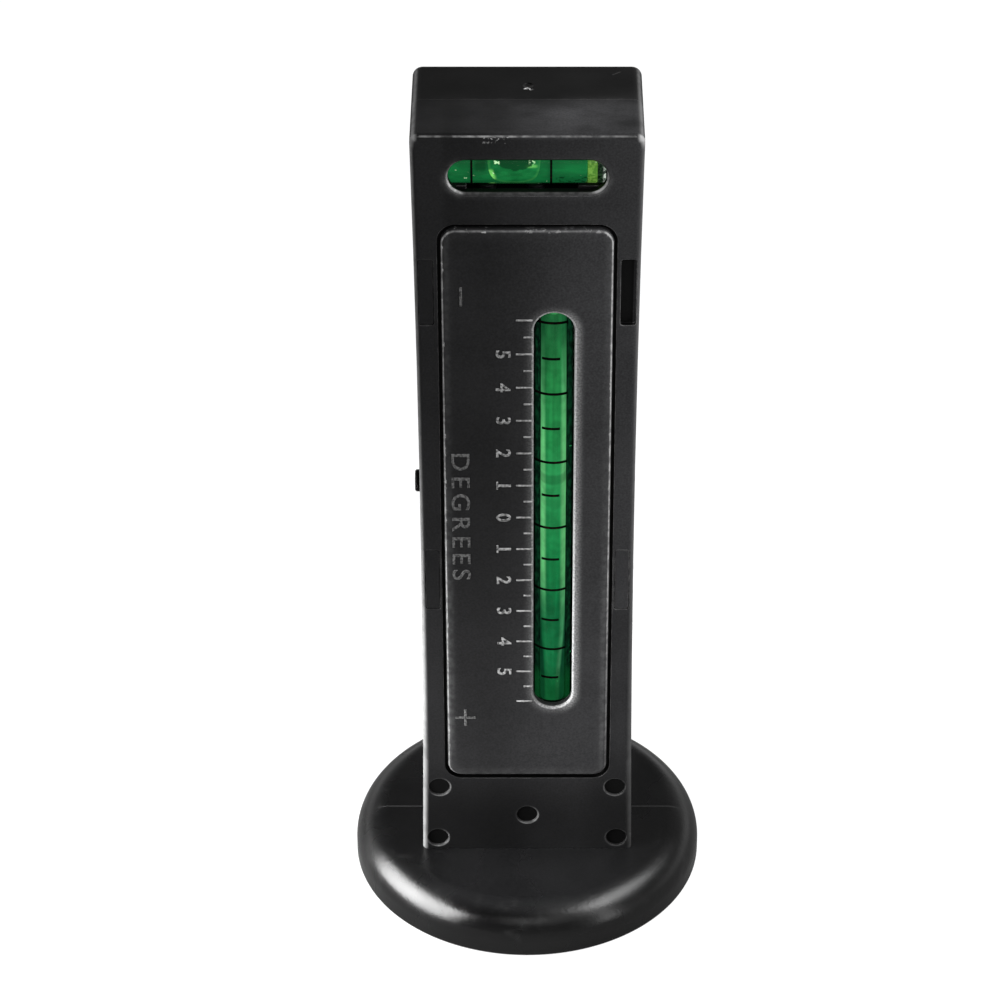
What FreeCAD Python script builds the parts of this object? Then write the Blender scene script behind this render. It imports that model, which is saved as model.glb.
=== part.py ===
import FreeCAD, Part
import math
import os

# Camber caster gauge: a hollow column with three bubble vials, standing on a round magnetic base.
# Lengths are millimetres. The origin is the centre of the resting face and +Z runs up the column.
# The camber scale and the cross level face -Y, the caster scale faces +X, the zero knob is on -X.

# ---- magnetic base ----
base_radius = 40.0
base_height = 11.5
base_shoulder = 7.5      # rounding of the upper edge
base_toe = 1.0           # rounding of the lower edge
base_wall = 5.85         # plastic around the steel cup
base_roof = 3.0          # plastic over the steel cup
cup_wall = 2.0
cup_top = 2.5
cup_gap = 0.15           # between the steel cup and the plastic around it
magnet_gap = 2.5         # between the magnet and the cup's wall
magnet_bore_radius = 9.5
magnet_recess = 0.4      # the magnet stands back from the cup's rim

# ---- centre bolt and foot ----
bolt_radius = 3.0
bolt_head_radius = 5.5
bolt_head_height = 3.2
bolt_head_round = 1.6
bolt_socket_radius = 2.5
bolt_socket_depth = 2.24
bolt_grip = 7.0          # thread inside the insert
washer_thickness = 0.8
washer_radius = 6.0
insert_wall = 1.6
foot_width = 28.0
foot_height = 17.0
pin_radius = 1.5
pin_offset = 10.0
pin_bite = 3.0           # each pin's length inside each of its two holes

# ---- column shells ----
column_top = 198.0
column_width = 48.0
column_depth = 31.0
side_bow = 0.8           # the sides draw in by this much at half height
wall = 2.2
corner_round = 2.1       # the two upper corners, seen from the front
edge_round = 1.3         # all edges of the front and the back face
split_y = 0.2            # the joint face of the two shells
tongue_thickness = 1.0
tongue_height = 1.2

# ---- screws that join the shells ----
screw_radius = 1.4
screw_head_radius = 2.6
screw_head_height = 1.5
screw_sunk = 0.4         # the heads lie this far below the back face
cross_recess_length = 3.2
cross_recess_width = 0.6
cross_recess_depth = 0.9
boss_radius = 3.4
screw_skin = 2.7         # solid plastic in front of each screw's point
foot_screw_rise = 10.1
low_screw_rise = 3.4
low_screw_inset = 3.5
mid_screw_rise = 18.2
mid_screw_inset = 4.0
top_screw_drop = 27.0
top_screw_inset = 7.5
dimple_radius = 2.4      # shallow rings on the front over the five lower bosses
dimple_depth = 0.5

# ---- latch pockets in the front face ----
pocket_width = 3.3
pocket_height = 16.0
pocket_depth = 1.2
pocket_round = 0.6
pocket_inset = 2.9       # from the column's side to the pocket's middle
pocket_top_drop = 37.0
pocket_mid_drop = 110.3
pocket_plug_sink = 0.15  # the blanking plugs lie a little below the face
pocket_plug_gap = 0.12

# ---- camber faceplate ----
plate_side_margin = 6.05 # from the plate to the column's sides
plate_foot_gap = 21.95   # from the base up to the plate
plate_head_gap = 21.85   # from the plate up to the column's top
plate_thickness = 2.0
plate_proud = 0.6
plate_corner = 3.2
plate_edge_round = 0.6
plate_gap = 0.7          # beside the plate, in its recess
plate_end_gap = 1.15     # above and below the plate
plate_rise = 0.1         # plate centre above the scale's zero
plate_floor = 1.4        # shell material behind the plate
peg_radius = 1.2
peg_inset = 2.6
peg_drop = 26.2          # from the plate's upper and lower edges to its pegs
peg_gap = 0.1

# ---- camber scale and slot ----
degree_pitch = 8.32
tick_width = 0.5
tick_proud = 0.15
tick_long = 3.1
tick_short = 1.6
slot_width = 8.4
slot_end_margin = 19.75  # from the slot's ends to the plate's ends
slot_rise = 0.4          # slot centre above the scale's zero
slot_bevel = 0.8

# ---- camber vial ----
vial_radius = 5.2
vial_bore_radius = 2.6
vial_tail = 7.9          # the vial reaches this far past each end of the slot
vial_plug_length = 4.5
vial_gap = 0.1           # behind the faceplate
vial_side_gap = 0.4      # around the vial in the shell's window
vial_end_gap = 1.1       # past the slot's ends in the shell's window
vial_carrier_gap = 0.65  # between the camber vial and the caster vial's carrier
bubble_radius = 1.25
bubble_length = 8.4
bubble_end_share = 0.8   # part of a bubble's radius that its ends are rounded by
mark_pitch = 8.39
mark_width = 0.55
mark_long_right = 2.94   # the long lines start under the slot's left edge
mark_short_left = 2.52
mark_short_right = 1.344
ink = 0.12

# ---- clips that hold the camber vial ----
clip_length = 4.2
clip_wall = 1.6
clip_ear = 4.2
clip_ear_thickness = 2.4
clip_screw_radius = 1.0
clip_screw_head = 1.9
clip_head_height = 1.2

# ---- cross level ----
cross_drop = 9.8         # from the column's top to the level's axis
cross_middle = -3.25     # level position of the bubble
cross_radius = 4.5
cross_bore_radius = 3.8
cross_side_gap = 1.3     # between the level and the shell's left side wall
cross_end_wall = 1.6
cross_plug_length = 2.0
cross_seal_length = 1.6
cross_ring_gap = 16.3
cross_ring_width = 0.45
cross_bubble_radius = 1.7
cross_bubble_length = 12.0
cross_slot_x = 0.05
cross_slot_rise = 0.1    # slot centre above the level's axis
cross_slot_inset = 7.65  # from the slot's ends to the column's sides
cross_slot_width = 7.5
cross_slot_rim = 0.6

# ---- bracket and shelf under the cross level ----
shelf_thickness = 2.2
shelf_width = 32.0
shelf_reach = 9.8        # back from the front wall
bar_thickness = 2.0
saddle_left = 8.0
saddle_right = 6.0
saddle_drop = 3.0        # the saddles end this far below the level's axis
saddle_over = 0.4        # the right saddle reaches this far past the level's end
bracket_screw_spread = 10.0

# ---- caster vial ----
caster_fall = 1.3        # the caster pivot lies this far below the camber scale's zero
caster_lead = 1.8        # the vial's apex stands in front of its pivot
caster_radius = 3.9
caster_bore_radius = 2.0
caster_bend = 330.0
caster_inset = 19.5      # from the camber vial's ends to the caster vial's liquid
caster_plug_length = 4.0
caster_bubble_radius = 0.95
caster_bubble_length = 7.9
caster_side_gap = 0.5    # between the vial and the shell's side
caster_mark_pitch = 7.88
caster_mark_long = 2.925
caster_mark_short = 1.365

# ---- carrier, shaft and zero knob ----
carrier_thickness = 1.1
carrier_width = 11.0
carrier_corner = 2.75
carrier_over = 2.0       # the carrier reaches this far past each end of the vial
carrier_clip_length = 4.0
carrier_clip_wall = 1.3
carrier_clip_wrap = 1.2  # how far the clips reach past the vial's middle
hub_radius = 3.3
hub_length = 2.6
shaft_radius = 1.6
shaft_gap = 0.08
rib_x = -6.0
rib_thickness = 3.0
rib_half_height = 6.0
knob_radius = 2.45
knob_length = 1.35
knob_chamfer = 0.3
knob_slot_width = 0.6
knob_slot_depth = 0.5
spigot_radius = 1.1
spigot_length = 0.9
thrust_thickness = 0.5
thrust_radius = 2.9
spring_radius = 2.25
spring_wire = 0.25
spring_turns = 5

# ---- caster faceplate and slot, on the right side ----
side_plate_width = 24.0
side_plate_margin = 14.0 # from the slot's ends to the plate's ends
side_plate_thickness = 1.4
side_plate_corner = 3.0
side_plate_gap = 0.25
side_slot_width = 9.4
side_slot_over = 1.0     # the liquid reaches this far past each end of the slot
side_slot_margin = 0.8
side_tick_pitch = 3.94   # one degree of caster
side_tick_end_gap = 7.0  # from the slot's ends to the outermost marks, at the least
side_tick_long = 2.4
side_tick_short = 1.3

# ---- clearances ----
fit = 0.1                # parts that slip together
touch = 0.02             # rounded faces that lie against each other
groove_gap = 0.15        # around a bubble, inside the liquid
over = 1.0               # cutting bodies reach this far past what they cut
small = 0.01             # tolerance when an edge is picked by its place

# ---- sizes worked out from the ones above ----
half_width = column_width / 2
front_y = -column_depth / 2
back_y = column_depth / 2
inner_front_y = front_y + wall
inner_back_y = back_y - wall
root = wall / 2          # inner features run this deep into the wall
narrow_half = half_width - side_bow
plate_face_y = front_y - plate_proud
plate_back_y = plate_face_y + plate_thickness
floor_back_y = plate_back_y + plate_floor
plate_width = column_width - 2 * plate_side_margin
plate_height = column_top - plate_head_gap - base_height - plate_foot_gap
plate_z = base_height + plate_foot_gap + plate_height / 2
zero_z = plate_z - plate_rise
slot_z = zero_z + slot_rise
slot_length = plate_height - 2 * slot_end_margin
degrees_each_way = int(slot_length / 2 / degree_pitch)
vial_length = slot_length + 2 * vial_tail
vial_bore_length = vial_length - 2 * vial_plug_length
mark_count = 2 * int(vial_bore_length / 2 / mark_pitch)
cross_z = column_top - cross_drop
cross_bore_length = 2 * (half_width - wall - cross_side_gap - cross_end_wall + cross_middle)
cross_length = cross_end_wall + cross_bore_length + cross_plug_length + cross_seal_length + fit
cross_slot_length = column_width - 2 * cross_slot_inset
saddle_open = cross_length + saddle_over - saddle_left - saddle_right
cross_slot_z = cross_z + cross_slot_rise
waist_z = (base_height + column_top) / 2
vial_y = plate_back_y + vial_gap + vial_radius
cross_y = inner_front_y + vial_gap + cross_radius
caster_z = zero_z - caster_fall
caster_bore_length = vial_length - 2 * caster_inset
caster_length = caster_bore_length + 2 * caster_plug_length
caster_marks = 2 * int(caster_bore_length / 2 / caster_mark_pitch)
carrier_half_length = caster_length / 2 + carrier_over
side_slot_length = caster_bore_length - 2 * side_slot_over
side_plate_height = side_slot_length + 2 * side_plate_margin
side_ticks = 1 + 2 * int((side_slot_length / 2 - side_tick_end_gap) / side_tick_pitch)
caster_y = split_y - caster_lead
caster_x = narrow_half - wall - caster_side_gap - caster_radius
carrier_x = caster_x - caster_radius - fit - carrier_thickness
slot_x = carrier_x - vial_carrier_gap - vial_radius
cup_radius = base_radius - base_wall - cup_gap
cup_height = base_height - base_roof
magnet_radius = cup_radius - cup_wall - magnet_gap
far = 2 * column_top     # longer than anything it cuts

UP = FreeCAD.Vector(0, 0, 1)
RIGHT = FreeCAD.Vector(1, 0, 0)
BACK = FreeCAD.Vector(0, 1, 0)


# ---- building blocks ----
def box(x0, x1, y0, y1, z0, z1):
    return Part.makeBox(x1 - x0, y1 - y0, z1 - z0, FreeCAD.Vector(x0, y0, z0))


def rod(radius, x, y, z, direction, length):
    """Cylinder that starts at (x, y, z)."""
    return Part.makeCylinder(radius, length, FreeCAD.Vector(x, y, z), direction)


def stadium(u, v, length, width, upright):
    """Flat wire of a slot around (u, v), in the XY plane."""
    r = width / 2
    run = length / 2 - r
    ends = [FreeCAD.Vector(-run, r, 0), FreeCAD.Vector(run, r, 0)]
    ends += [FreeCAD.Vector(run, -r, 0), FreeCAD.Vector(-run, -r, 0)]
    right = Part.Arc(ends[1], FreeCAD.Vector(run + r, 0, 0), ends[2]).toShape()
    left = Part.Arc(ends[3], FreeCAD.Vector(-run - r, 0, 0), ends[0]).toShape()
    top = Part.makeLine(ends[0], ends[1])
    bottom = Part.makeLine(ends[2], ends[3])
    wire = Part.Wire([top, right, bottom, left])
    if upright:
        wire.rotate(FreeCAD.Vector(0, 0, 0), UP, 90)
    wire.translate(FreeCAD.Vector(u, v, 0))
    return wire


def rounded_rectangle(u, v, width, height, corner):
    """Flat wire with rounded corners around (u, v), in the XY plane."""
    edges = []
    for turn in range(4):
        w, h = (width, height) if turn % 2 == 0 else (height, width)
        start = FreeCAD.Vector(-w / 2 + corner, -h / 2, 0)
        end = FreeCAD.Vector(w / 2 - corner, -h / 2, 0)
        middle = end + FreeCAD.Vector(corner * math.sin(math.pi / 4), corner * (1 - math.cos(math.pi / 4)), 0)
        after = FreeCAD.Vector(w / 2, -h / 2 + corner, 0)
        for edge in (Part.makeLine(start, end), Part.Arc(end, middle, after).toShape()):
            edge.rotate(FreeCAD.Vector(0, 0, 0), UP, 90 * turn)
            edges.append(edge)
    wire = Part.Wire(Part.__sortEdges__(edges))
    wire.translate(FreeCAD.Vector(u, v, 0))
    return wire


def through_front(wire, y0, y1):
    """Solid of a wire drawn as (x, z) on the front, from depth y0 to y1."""
    face = Part.Face(wire)
    face.rotate(FreeCAD.Vector(0, 0, 0), RIGHT, 90)
    face.translate(FreeCAD.Vector(0, y0, 0))
    return face.extrude(BACK * (y1 - y0))


def through_side(wire, x0, x1):
    """Solid of a wire drawn as (y, z) on the right side, from x0 to x1."""
    face = Part.Face(wire)
    face.rotate(FreeCAD.Vector(0, 0, 0), RIGHT, 90)
    face.rotate(FreeCAD.Vector(0, 0, 0), UP, 90)
    face.translate(FreeCAD.Vector(x0, 0, 0))
    return face.extrude(RIGHT * (x1 - x0))


def edges_at(shape, test):
    """The edges whose bounding box passes the test."""
    return [edge for edge in shape.Edges if test(edge.BoundBox)]


def joined(solids):
    """One solid out of several that meet."""
    whole = solids[0].fuse(solids[1:])
    return whole.removeSplitter()


def column_block(inset, y0=front_y, y1=back_y):
    """The column's outline drawn in by inset, its sides bowed, from depth y0 to y1."""
    wide = half_width - inset
    narrow = narrow_half - inset
    low = base_height
    top = column_top - inset
    low_left = FreeCAD.Vector(-wide, y0, low)
    low_right = FreeCAD.Vector(wide, y0, low)
    top_left = FreeCAD.Vector(-wide, y0, top)
    top_right = FreeCAD.Vector(wide, y0, top)
    left = Part.Arc(low_left, FreeCAD.Vector(-narrow, y0, waist_z), top_left).toShape()
    right = Part.Arc(top_right, FreeCAD.Vector(narrow, y0, waist_z), low_right).toShape()
    lid = Part.makeLine(top_left, top_right)
    foot = Part.makeLine(low_right, low_left)
    return Part.Face(Part.Wire([left, lid, right, foot])).extrude(BACK * (y1 - y0))


def column_outside():
    """The whole column with its upper corners and its front and back edges rounded."""
    block = column_block(0)
    lid = edges_at(block, lambda b: b.ZMin > column_top - small and b.YLength > column_depth / 2)
    block = block.makeFillet(corner_round, lid)
    for face_y in (front_y, back_y):
        rim = edges_at(
            block,
            lambda b: abs(b.YMin - face_y) < small and b.YLength < small and b.ZMax > base_height + over,
        )
        block = block.makeFillet(edge_round, rim)
    return block


class BentVial:
    """A vial bent to a large radius in the plane of Y and Z, its middle bulging towards -Y.

    Places along it are arc lengths from its middle, positive upwards.
    """

    def __init__(self, x, y, z, bend, radius, bore, length, bore_length):
        self.x, self.y, self.z = x, y, z
        self.bend = bend
        self.radius, self.bore = radius, bore
        self.length, self.bore_length = length, bore_length
        self.centre = FreeCAD.Vector(x, y + bend, z)

    def place(self, s):
        """Depth and height of the centre line at arc length s."""
        angle = s / self.bend
        return self.y + self.bend * (1 - math.cos(angle)), self.z + self.bend * math.sin(angle)

    def sweep(self, wires, s0, s1):
        """Carries a flat section, drawn at the vial's middle, from s0 to s1."""
        face = Part.Face(wires)
        turn = math.degrees(1 / self.bend)
        face.rotate(self.centre, -RIGHT, s0 * turn)
        return face.revolve(self.centre, -RIGHT, (s1 - s0) * turn)

    def ring(self, radius, lead=0.0):
        return Part.Wire(Part.makeCircle(radius, FreeCAD.Vector(self.x, self.y - lead, self.z), UP))

    def tube(self):
        half = self.length / 2
        whole = self.sweep(self.ring(self.radius), -half, half)
        return whole.cut(self.sweep(self.ring(self.bore), -half, half))

    def bubble_lead(self, bubble):
        """The bubble rides against the outer side of the bend."""
        return self.bore - bubble - fit

    def liquid(self, bubble):
        """Fills the bore between the plugs, with a groove in which the bubble travels."""
        half = self.bore_length / 2
        section = Part.Face(self.ring(self.bore - touch))
        groove = Part.Face(self.ring(bubble + groove_gap, self.bubble_lead(bubble)))
        section = section.cut(groove).Faces[0]
        return self.sweep(section.Wires, -half, half)

    def plugs(self):
        inner = self.bore_length / 2
        outer = self.length / 2
        ring = self.ring(self.bore - touch)
        return Part.makeCompound([self.sweep(ring, -outer, -inner), self.sweep(ring, inner, outer)])

    def bubble_reach(self, bubble_length):
        """Arc length from the vial's middle to the bubble's middle at either end."""
        return self.bore_length / 2 - bubble_length / 2 - fit

    def bubble_body(self, bubble, bubble_length):
        """The bubble at the top of the upright vial, with rounded ends."""
        reach = self.bubble_reach(bubble_length)
        ring = self.ring(bubble, self.bubble_lead(bubble))
        body = self.sweep(ring, reach - bubble_length / 2, reach + bubble_length / 2)
        ends = edges_at(body, lambda b: b.ZLength < bubble)
        return body.makeFillet(bubble * bubble_end_share, ends)

    def marks(self, count, pitch, spans, front):
        """Printed lines part way round the tube. spans gives each kind of line its reach left and right."""
        lines = []
        for index in range(count):
            s = ((count - 1) / 2 - index) * pitch
            reach_left, reach_right = spans[index % len(spans)]
            outer = self.sweep(self.ring(self.radius + ink), s - mark_width / 2, s + mark_width / 2)
            inner = self.sweep(self.ring(self.radius + touch), s - mark_width, s + mark_width)
            y, z = self.place(s)
            reach = self.radius + over
            if front:
                window = box(self.x - reach_left, self.x + reach_right, y - reach, y, z - reach, z + reach)
            else:
                window = box(self.x, self.x + reach, y - reach_left, y + reach_right, z - reach, z + reach)
            lines.append(outer.cut(inner).common(window))
        return Part.makeCompound([solid for line in lines for solid in line.Solids])


camber_bubble_lead = vial_bore_radius - bubble_radius - fit
camber_bend = degree_pitch * 180 / math.pi - camber_bubble_lead
camber_vial = BentVial(
    slot_x, vial_y, zero_z, camber_bend, vial_radius, vial_bore_radius, vial_length, vial_bore_length
)
caster_vial = BentVial(
    caster_x, caster_y, caster_z, caster_bend, caster_radius, caster_bore_radius, caster_length,
    caster_bore_length,
)


# ---- magnetic base ----
def base_cover():
    """Plastic disc with a rounded shoulder, hollow below for the steel cup."""
    shoulder_in = base_radius - base_shoulder
    shoulder_low = base_height - base_shoulder
    bend = math.sqrt(0.5)
    points = {
        "hub": FreeCAD.Vector(bolt_radius + fit, 0, base_height),
        "flat": FreeCAD.Vector(shoulder_in, 0, base_height),
        "round": FreeCAD.Vector(shoulder_in + base_shoulder * bend, 0, shoulder_low + base_shoulder * bend),
        "side": FreeCAD.Vector(base_radius, 0, shoulder_low),
        "toe_top": FreeCAD.Vector(base_radius, 0, base_toe),
        "toe": FreeCAD.Vector(base_radius - base_toe * (1 - bend), 0, base_toe * (1 - bend)),
        "toe_low": FreeCAD.Vector(base_radius - base_toe, 0, 0),
        "rim": FreeCAD.Vector(cup_radius + cup_gap, 0, 0),
        "roof_out": FreeCAD.Vector(cup_radius + cup_gap, 0, cup_height),
        "roof_in": FreeCAD.Vector(bolt_radius + fit, 0, cup_height),
    }
    outline = [
        Part.makeLine(points["hub"], points["flat"]),
        Part.Arc(points["flat"], points["round"], points["side"]).toShape(),
        Part.makeLine(points["side"], points["toe_top"]),
        Part.Arc(points["toe_top"], points["toe"], points["toe_low"]).toShape(),
        Part.makeLine(points["toe_low"], points["rim"]),
        Part.makeLine(points["rim"], points["roof_out"]),
        Part.makeLine(points["roof_out"], points["roof_in"]),
        Part.makeLine(points["roof_in"], points["hub"]),
    ]
    cover = Part.Face(Part.Wire(outline)).revolve(FreeCAD.Vector(0, 0, 0), UP, 360)
    return cover.cut(locating_pins(fit / 2))


def steel_cup():
    """Pole cup, open downwards: its rim and the magnet grip the wheel hub."""
    cup = rod(cup_radius, 0, 0, 0, UP, cup_height)
    cup = cup.cut(rod(cup_radius - cup_wall, 0, 0, 0, UP, cup_height - cup_top))
    return cup.cut(rod(bolt_radius + fit, 0, 0, 0, UP, cup_height))


def ring_magnet():
    height = cup_height - cup_top - magnet_recess
    magnet = rod(magnet_radius, 0, 0, magnet_recess, UP, height)
    return magnet.cut(rod(magnet_bore_radius, 0, 0, magnet_recess, UP, height))


def lock_washer():
    low = cup_height - cup_top - washer_thickness
    washer = rod(washer_radius, 0, 0, low, UP, washer_thickness)
    return washer.cut(rod(bolt_radius + fit, 0, 0, low, UP, washer_thickness))


def centre_bolt():
    """Button head with a hexagon socket; the shank runs up into the insert."""
    head_top = cup_height - cup_top - washer_thickness
    head_low = head_top - bolt_head_height
    head = rod(bolt_head_radius, 0, 0, head_low, UP, bolt_head_height)
    rim = edges_at(head, lambda b: b.ZMax < head_low + small)
    head = head.makeFillet(bolt_head_round, rim)
    corners = [
        FreeCAD.Vector(
            bolt_socket_radius * math.cos(k * math.pi / 3),
            bolt_socket_radius * math.sin(k * math.pi / 3),
            head_low,
        )
        for k in range(7)
    ]
    socket = Part.Face(Part.makePolygon(corners)).extrude(UP * bolt_socket_depth)
    shank = rod(bolt_radius, 0, 0, head_top, UP, base_height + bolt_grip - head_top)
    return joined([head, shank]).cut(socket)


def foot_block():
    """Fills the foot of the column between the two shells and carries the bolt's insert."""
    block = box(
        -foot_width / 2, foot_width / 2, inner_front_y, inner_back_y, base_height, base_height + foot_height
    )
    block = block.cut(rod(bolt_radius + insert_wall + touch, 0, 0, base_height, UP, bolt_grip + fit))
    block = block.cut(locating_pins(fit / 2))
    screw_z = base_height + foot_screw_rise
    return block.cut(rod(screw_radius + fit, 0, inner_front_y, screw_z, BACK, inner_back_y - inner_front_y))


def foot_insert():
    """Threaded sleeve for the centre bolt."""
    sleeve = rod(bolt_radius + insert_wall, 0, 0, base_height, UP, bolt_grip)
    return sleeve.cut(rod(bolt_radius + fit / 2, 0, 0, base_height, UP, bolt_grip))


def locating_pins(grow=0.0):
    """Two pins that stop the column from turning on the base."""
    low = base_height - min(pin_bite, base_roof) - grow
    length = base_height + pin_bite + grow - low
    pins = [rod(pin_radius + grow, side * pin_offset, 0, low, UP, length) for side in (-1, 1)]
    return Part.makeCompound(pins)


# ---- column shells ----
def screw_places():
    """(x, z) of the screws that join the shells, the five lower ones first."""
    low = half_width - low_screw_inset
    mid = half_width - mid_screw_inset
    top = half_width - top_screw_inset
    places = [(0, base_height + foot_screw_rise)]
    for side in (-1, 1):
        places.append((side * low, base_height + low_screw_rise))
        places.append((side * mid, base_height + mid_screw_rise))
    for side in (-1, 1):
        places.append((side * top, column_top - top_screw_drop))
    return places


def lower_screw_places():
    return screw_places()[:5]


def screw_bosses(y0, y1):
    """Pillars around all screws but the foot block's own."""
    return [rod(boss_radius, x, y0, z, BACK, y1 - y0) for x, z in screw_places()[1:]]


def bearing_rib(y0, y1):
    """One half of the inner bearing of the zero shaft."""
    return box(rib_x, rib_x + rib_thickness, y0, y1, caster_z - rib_half_height, caster_z + rib_half_height)


def shaft_bore():
    """The running bore of the zero shaft in the left side and the ribs."""
    return rod(shaft_radius + shaft_gap, -half_width - over, split_y, caster_z, RIGHT, half_width + over)


def plate_recess_wire(margin=0.0):
    beside = plate_gap + margin
    above = plate_end_gap + margin
    return rounded_rectangle(
        0, plate_z, plate_width + 2 * beside, plate_height + 2 * above, plate_corner + beside
    )


def side_plate_prism(margin=0.0):
    wire = rounded_rectangle(
        0, caster_z, side_plate_width + 2 * margin, side_plate_height + 2 * margin, side_plate_corner + margin
    )
    return through_side(wire, 0, half_width + over)


def side_opening():
    """Cut in the side for the caster faceplate, and the window behind it."""
    recess = side_plate_prism(side_plate_gap).cut(column_block(side_plate_thickness, -far, far))
    margin = 2 * side_slot_margin
    window = through_side(
        stadium(0, caster_z, side_slot_length + margin, side_slot_width + margin, True),
        narrow_half - 2 * wall, half_width + over,
    )
    return recess.fuse(window)


def clip_screw_places():
    """(x, z) of the screws that hold the camber vial's clips."""
    reach = vial_radius + clip_wall + clip_ear / 2
    heights = [camber_vial.place(side * (vial_length - clip_length) / 2)[1] for side in (-1, 1)]
    return [(slot_x + side * reach, z) for z in heights for side in (-1, 1)]


def peg_places():
    reach = plate_width / 2 - peg_inset
    rise = plate_height / 2 - peg_drop
    return [(side * reach, zero_z + end * rise) for side in (-1, 1) for end in (-1, 1)]


def shelf_top():
    return cross_z - cross_radius - vial_gap - clip_head_height - bar_thickness


def tongue(grow):
    """The lip of the rear shell that locates in the front shell."""
    outer = column_block(wall - tongue_thickness - grow, split_y - tongue_height - grow, split_y)
    return outer.cut(column_block(wall, split_y - tongue_height - grow, split_y))


def hollow(y0, y1):
    return column_block(wall, y0, y1)


def in_level_window(bounds):
    """Whether an edge's bounding box lies in the cross level's window."""
    level = abs(bounds.Center.z - cross_slot_z) < cross_slot_width / 2 + small
    return level and bounds.XLength < cross_slot_length + small and bounds.ZLength < cross_slot_width + small


def front_shell():
    """Front half of the column: faceplate recess, both front windows, bosses, ribs and shelf."""
    shell = column_outside().cut(box(-far, far, split_y, far, -far, far))
    shell = shell.cut(hollow(inner_front_y, split_y))
    pad = through_front(plate_recess_wire(root), inner_front_y - root, floor_back_y)
    shelf = box(
        -shelf_width / 2, shelf_width / 2, inner_front_y - root, inner_front_y + shelf_reach,
        shelf_top() - shelf_thickness, shelf_top(),
    )
    inside = [pad, shelf, bearing_rib(inner_front_y - root, split_y)]
    inside += screw_bosses(inner_front_y - root, split_y)
    limit = column_block(root, front_y, split_y)
    shell = joined([shell] + [piece.common(limit) for piece in inside])
    shell = shell.cut(tongue(fit))
    shell = shell.cut(through_front(plate_recess_wire(), front_y - over, plate_back_y))
    window = stadium(
        slot_x, slot_z, slot_length + 2 * vial_end_gap, 2 * (vial_radius + vial_side_gap), True
    )
    shell = shell.cut(through_front(window, front_y, floor_back_y + over))
    level_window = stadium(cross_slot_x, cross_slot_z, cross_slot_length, cross_slot_width, False)
    shell = shell.cut(through_front(level_window, front_y - over, 0))
    rim = edges_at(shell, lambda b: b.YMax < front_y + small and in_level_window(b))
    shell = shell.makeChamfer(cross_slot_rim, rim)
    for x, z in lower_screw_places():
        shell = shell.cut(rod(dimple_radius, x, front_y - over, z, BACK, over + dimple_depth))
    for x, z in screw_places():
        point_y = front_y + screw_skin
        shell = shell.cut(rod(screw_radius + fit / 2, x, point_y, z, BACK, split_y - point_y))
    for x, z in clip_screw_places():
        shell = shell.cut(rod(clip_screw_radius + fit / 2, x, plate_back_y, z, BACK, plate_floor))
    for x, z in peg_places():
        shell = shell.cut(rod(peg_radius + peg_gap, x, plate_back_y, z, BACK, plate_floor))
    for x in bracket_screw_places():
        z = shelf_top() - shelf_thickness
        shell = shell.cut(rod(clip_screw_radius + fit / 2, x, cross_y, z, UP, shelf_thickness))
    for pocket in pockets(0.0, 0.0):
        shell = shell.cut(pocket)
    shell = shell.cut(shaft_bore())
    return shell.cut(side_opening())


def rear_shell():
    """Back half of the column, with the locating lip, the screw bosses and the rear bearing rib."""
    shell = column_outside().cut(box(-far, far, -far, split_y, -far, far))
    shell = shell.cut(hollow(split_y, inner_back_y))
    inside = [bearing_rib(split_y, inner_back_y + root)]
    inside += screw_bosses(split_y, inner_back_y + root)
    head_seat = screw_sunk + screw_head_height
    limit = column_block(root, split_y, back_y)
    shell = joined([shell] + [piece.common(limit) for piece in inside])
    shell = joined([shell, tongue(0.0)])
    for x, z in screw_places():
        start = split_y - 2 * tongue_height
        shell = shell.cut(rod(screw_radius + fit, x, start, z, BACK, column_depth))
        shell = shell.cut(rod(screw_head_radius + fit, x, back_y - head_seat, z, BACK, column_depth))
    shell = shell.cut(shaft_bore())
    return shell.cut(side_opening())


def pockets(shrink, sink):
    """The four latch pockets beside the faceplate, as solids, the open one first."""
    width = pocket_width - 2 * shrink
    height = pocket_height - 2 * shrink
    x = half_width - pocket_inset
    drops = [(x, pocket_top_drop), (-x, pocket_top_drop), (x - side_bow / 2, pocket_mid_drop)]
    drops.append((-x + side_bow / 2, pocket_mid_drop))
    solids = []
    for place_x, drop in drops:
        wire = rounded_rectangle(place_x, column_top - drop, width, height, pocket_round)
        solids.append(through_front(wire, front_y - over, front_y + pocket_depth))
    if sink:
        cover = box(-far, far, front_y - 2 * over, front_y + sink, 0, column_top)
        solids = [solid.cut(cover) for solid in solids]
    return solids


def pocket_plugs():
    """Blanking plugs pressed into three of the four pockets."""
    return Part.makeCompound(pockets(pocket_plug_gap, pocket_plug_sink)[1:])


def shell_screws():
    """The screws from the back that hold the shells together, one of them through the foot block."""
    screws = []
    seat = back_y - screw_sunk - screw_head_height
    for x, z in screw_places():
        point_y = front_y + screw_skin + fit
        shank = rod(screw_radius, x, point_y, z, BACK, seat - point_y)
        head = rod(screw_head_radius, x, seat, z, BACK, screw_head_height)
        floor = seat + screw_head_height - cross_recess_depth
        long = cross_recess_length / 2
        thin = cross_recess_width / 2
        level_arm = box(x - long, x + long, floor, back_y, z - thin, z + thin)
        upright_arm = box(x - thin, x + thin, floor, back_y, z - long, z + long)
        screws.append(joined([shank, head]).cut(level_arm.fuse(upright_arm)))
    return Part.makeCompound(screws)


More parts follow.
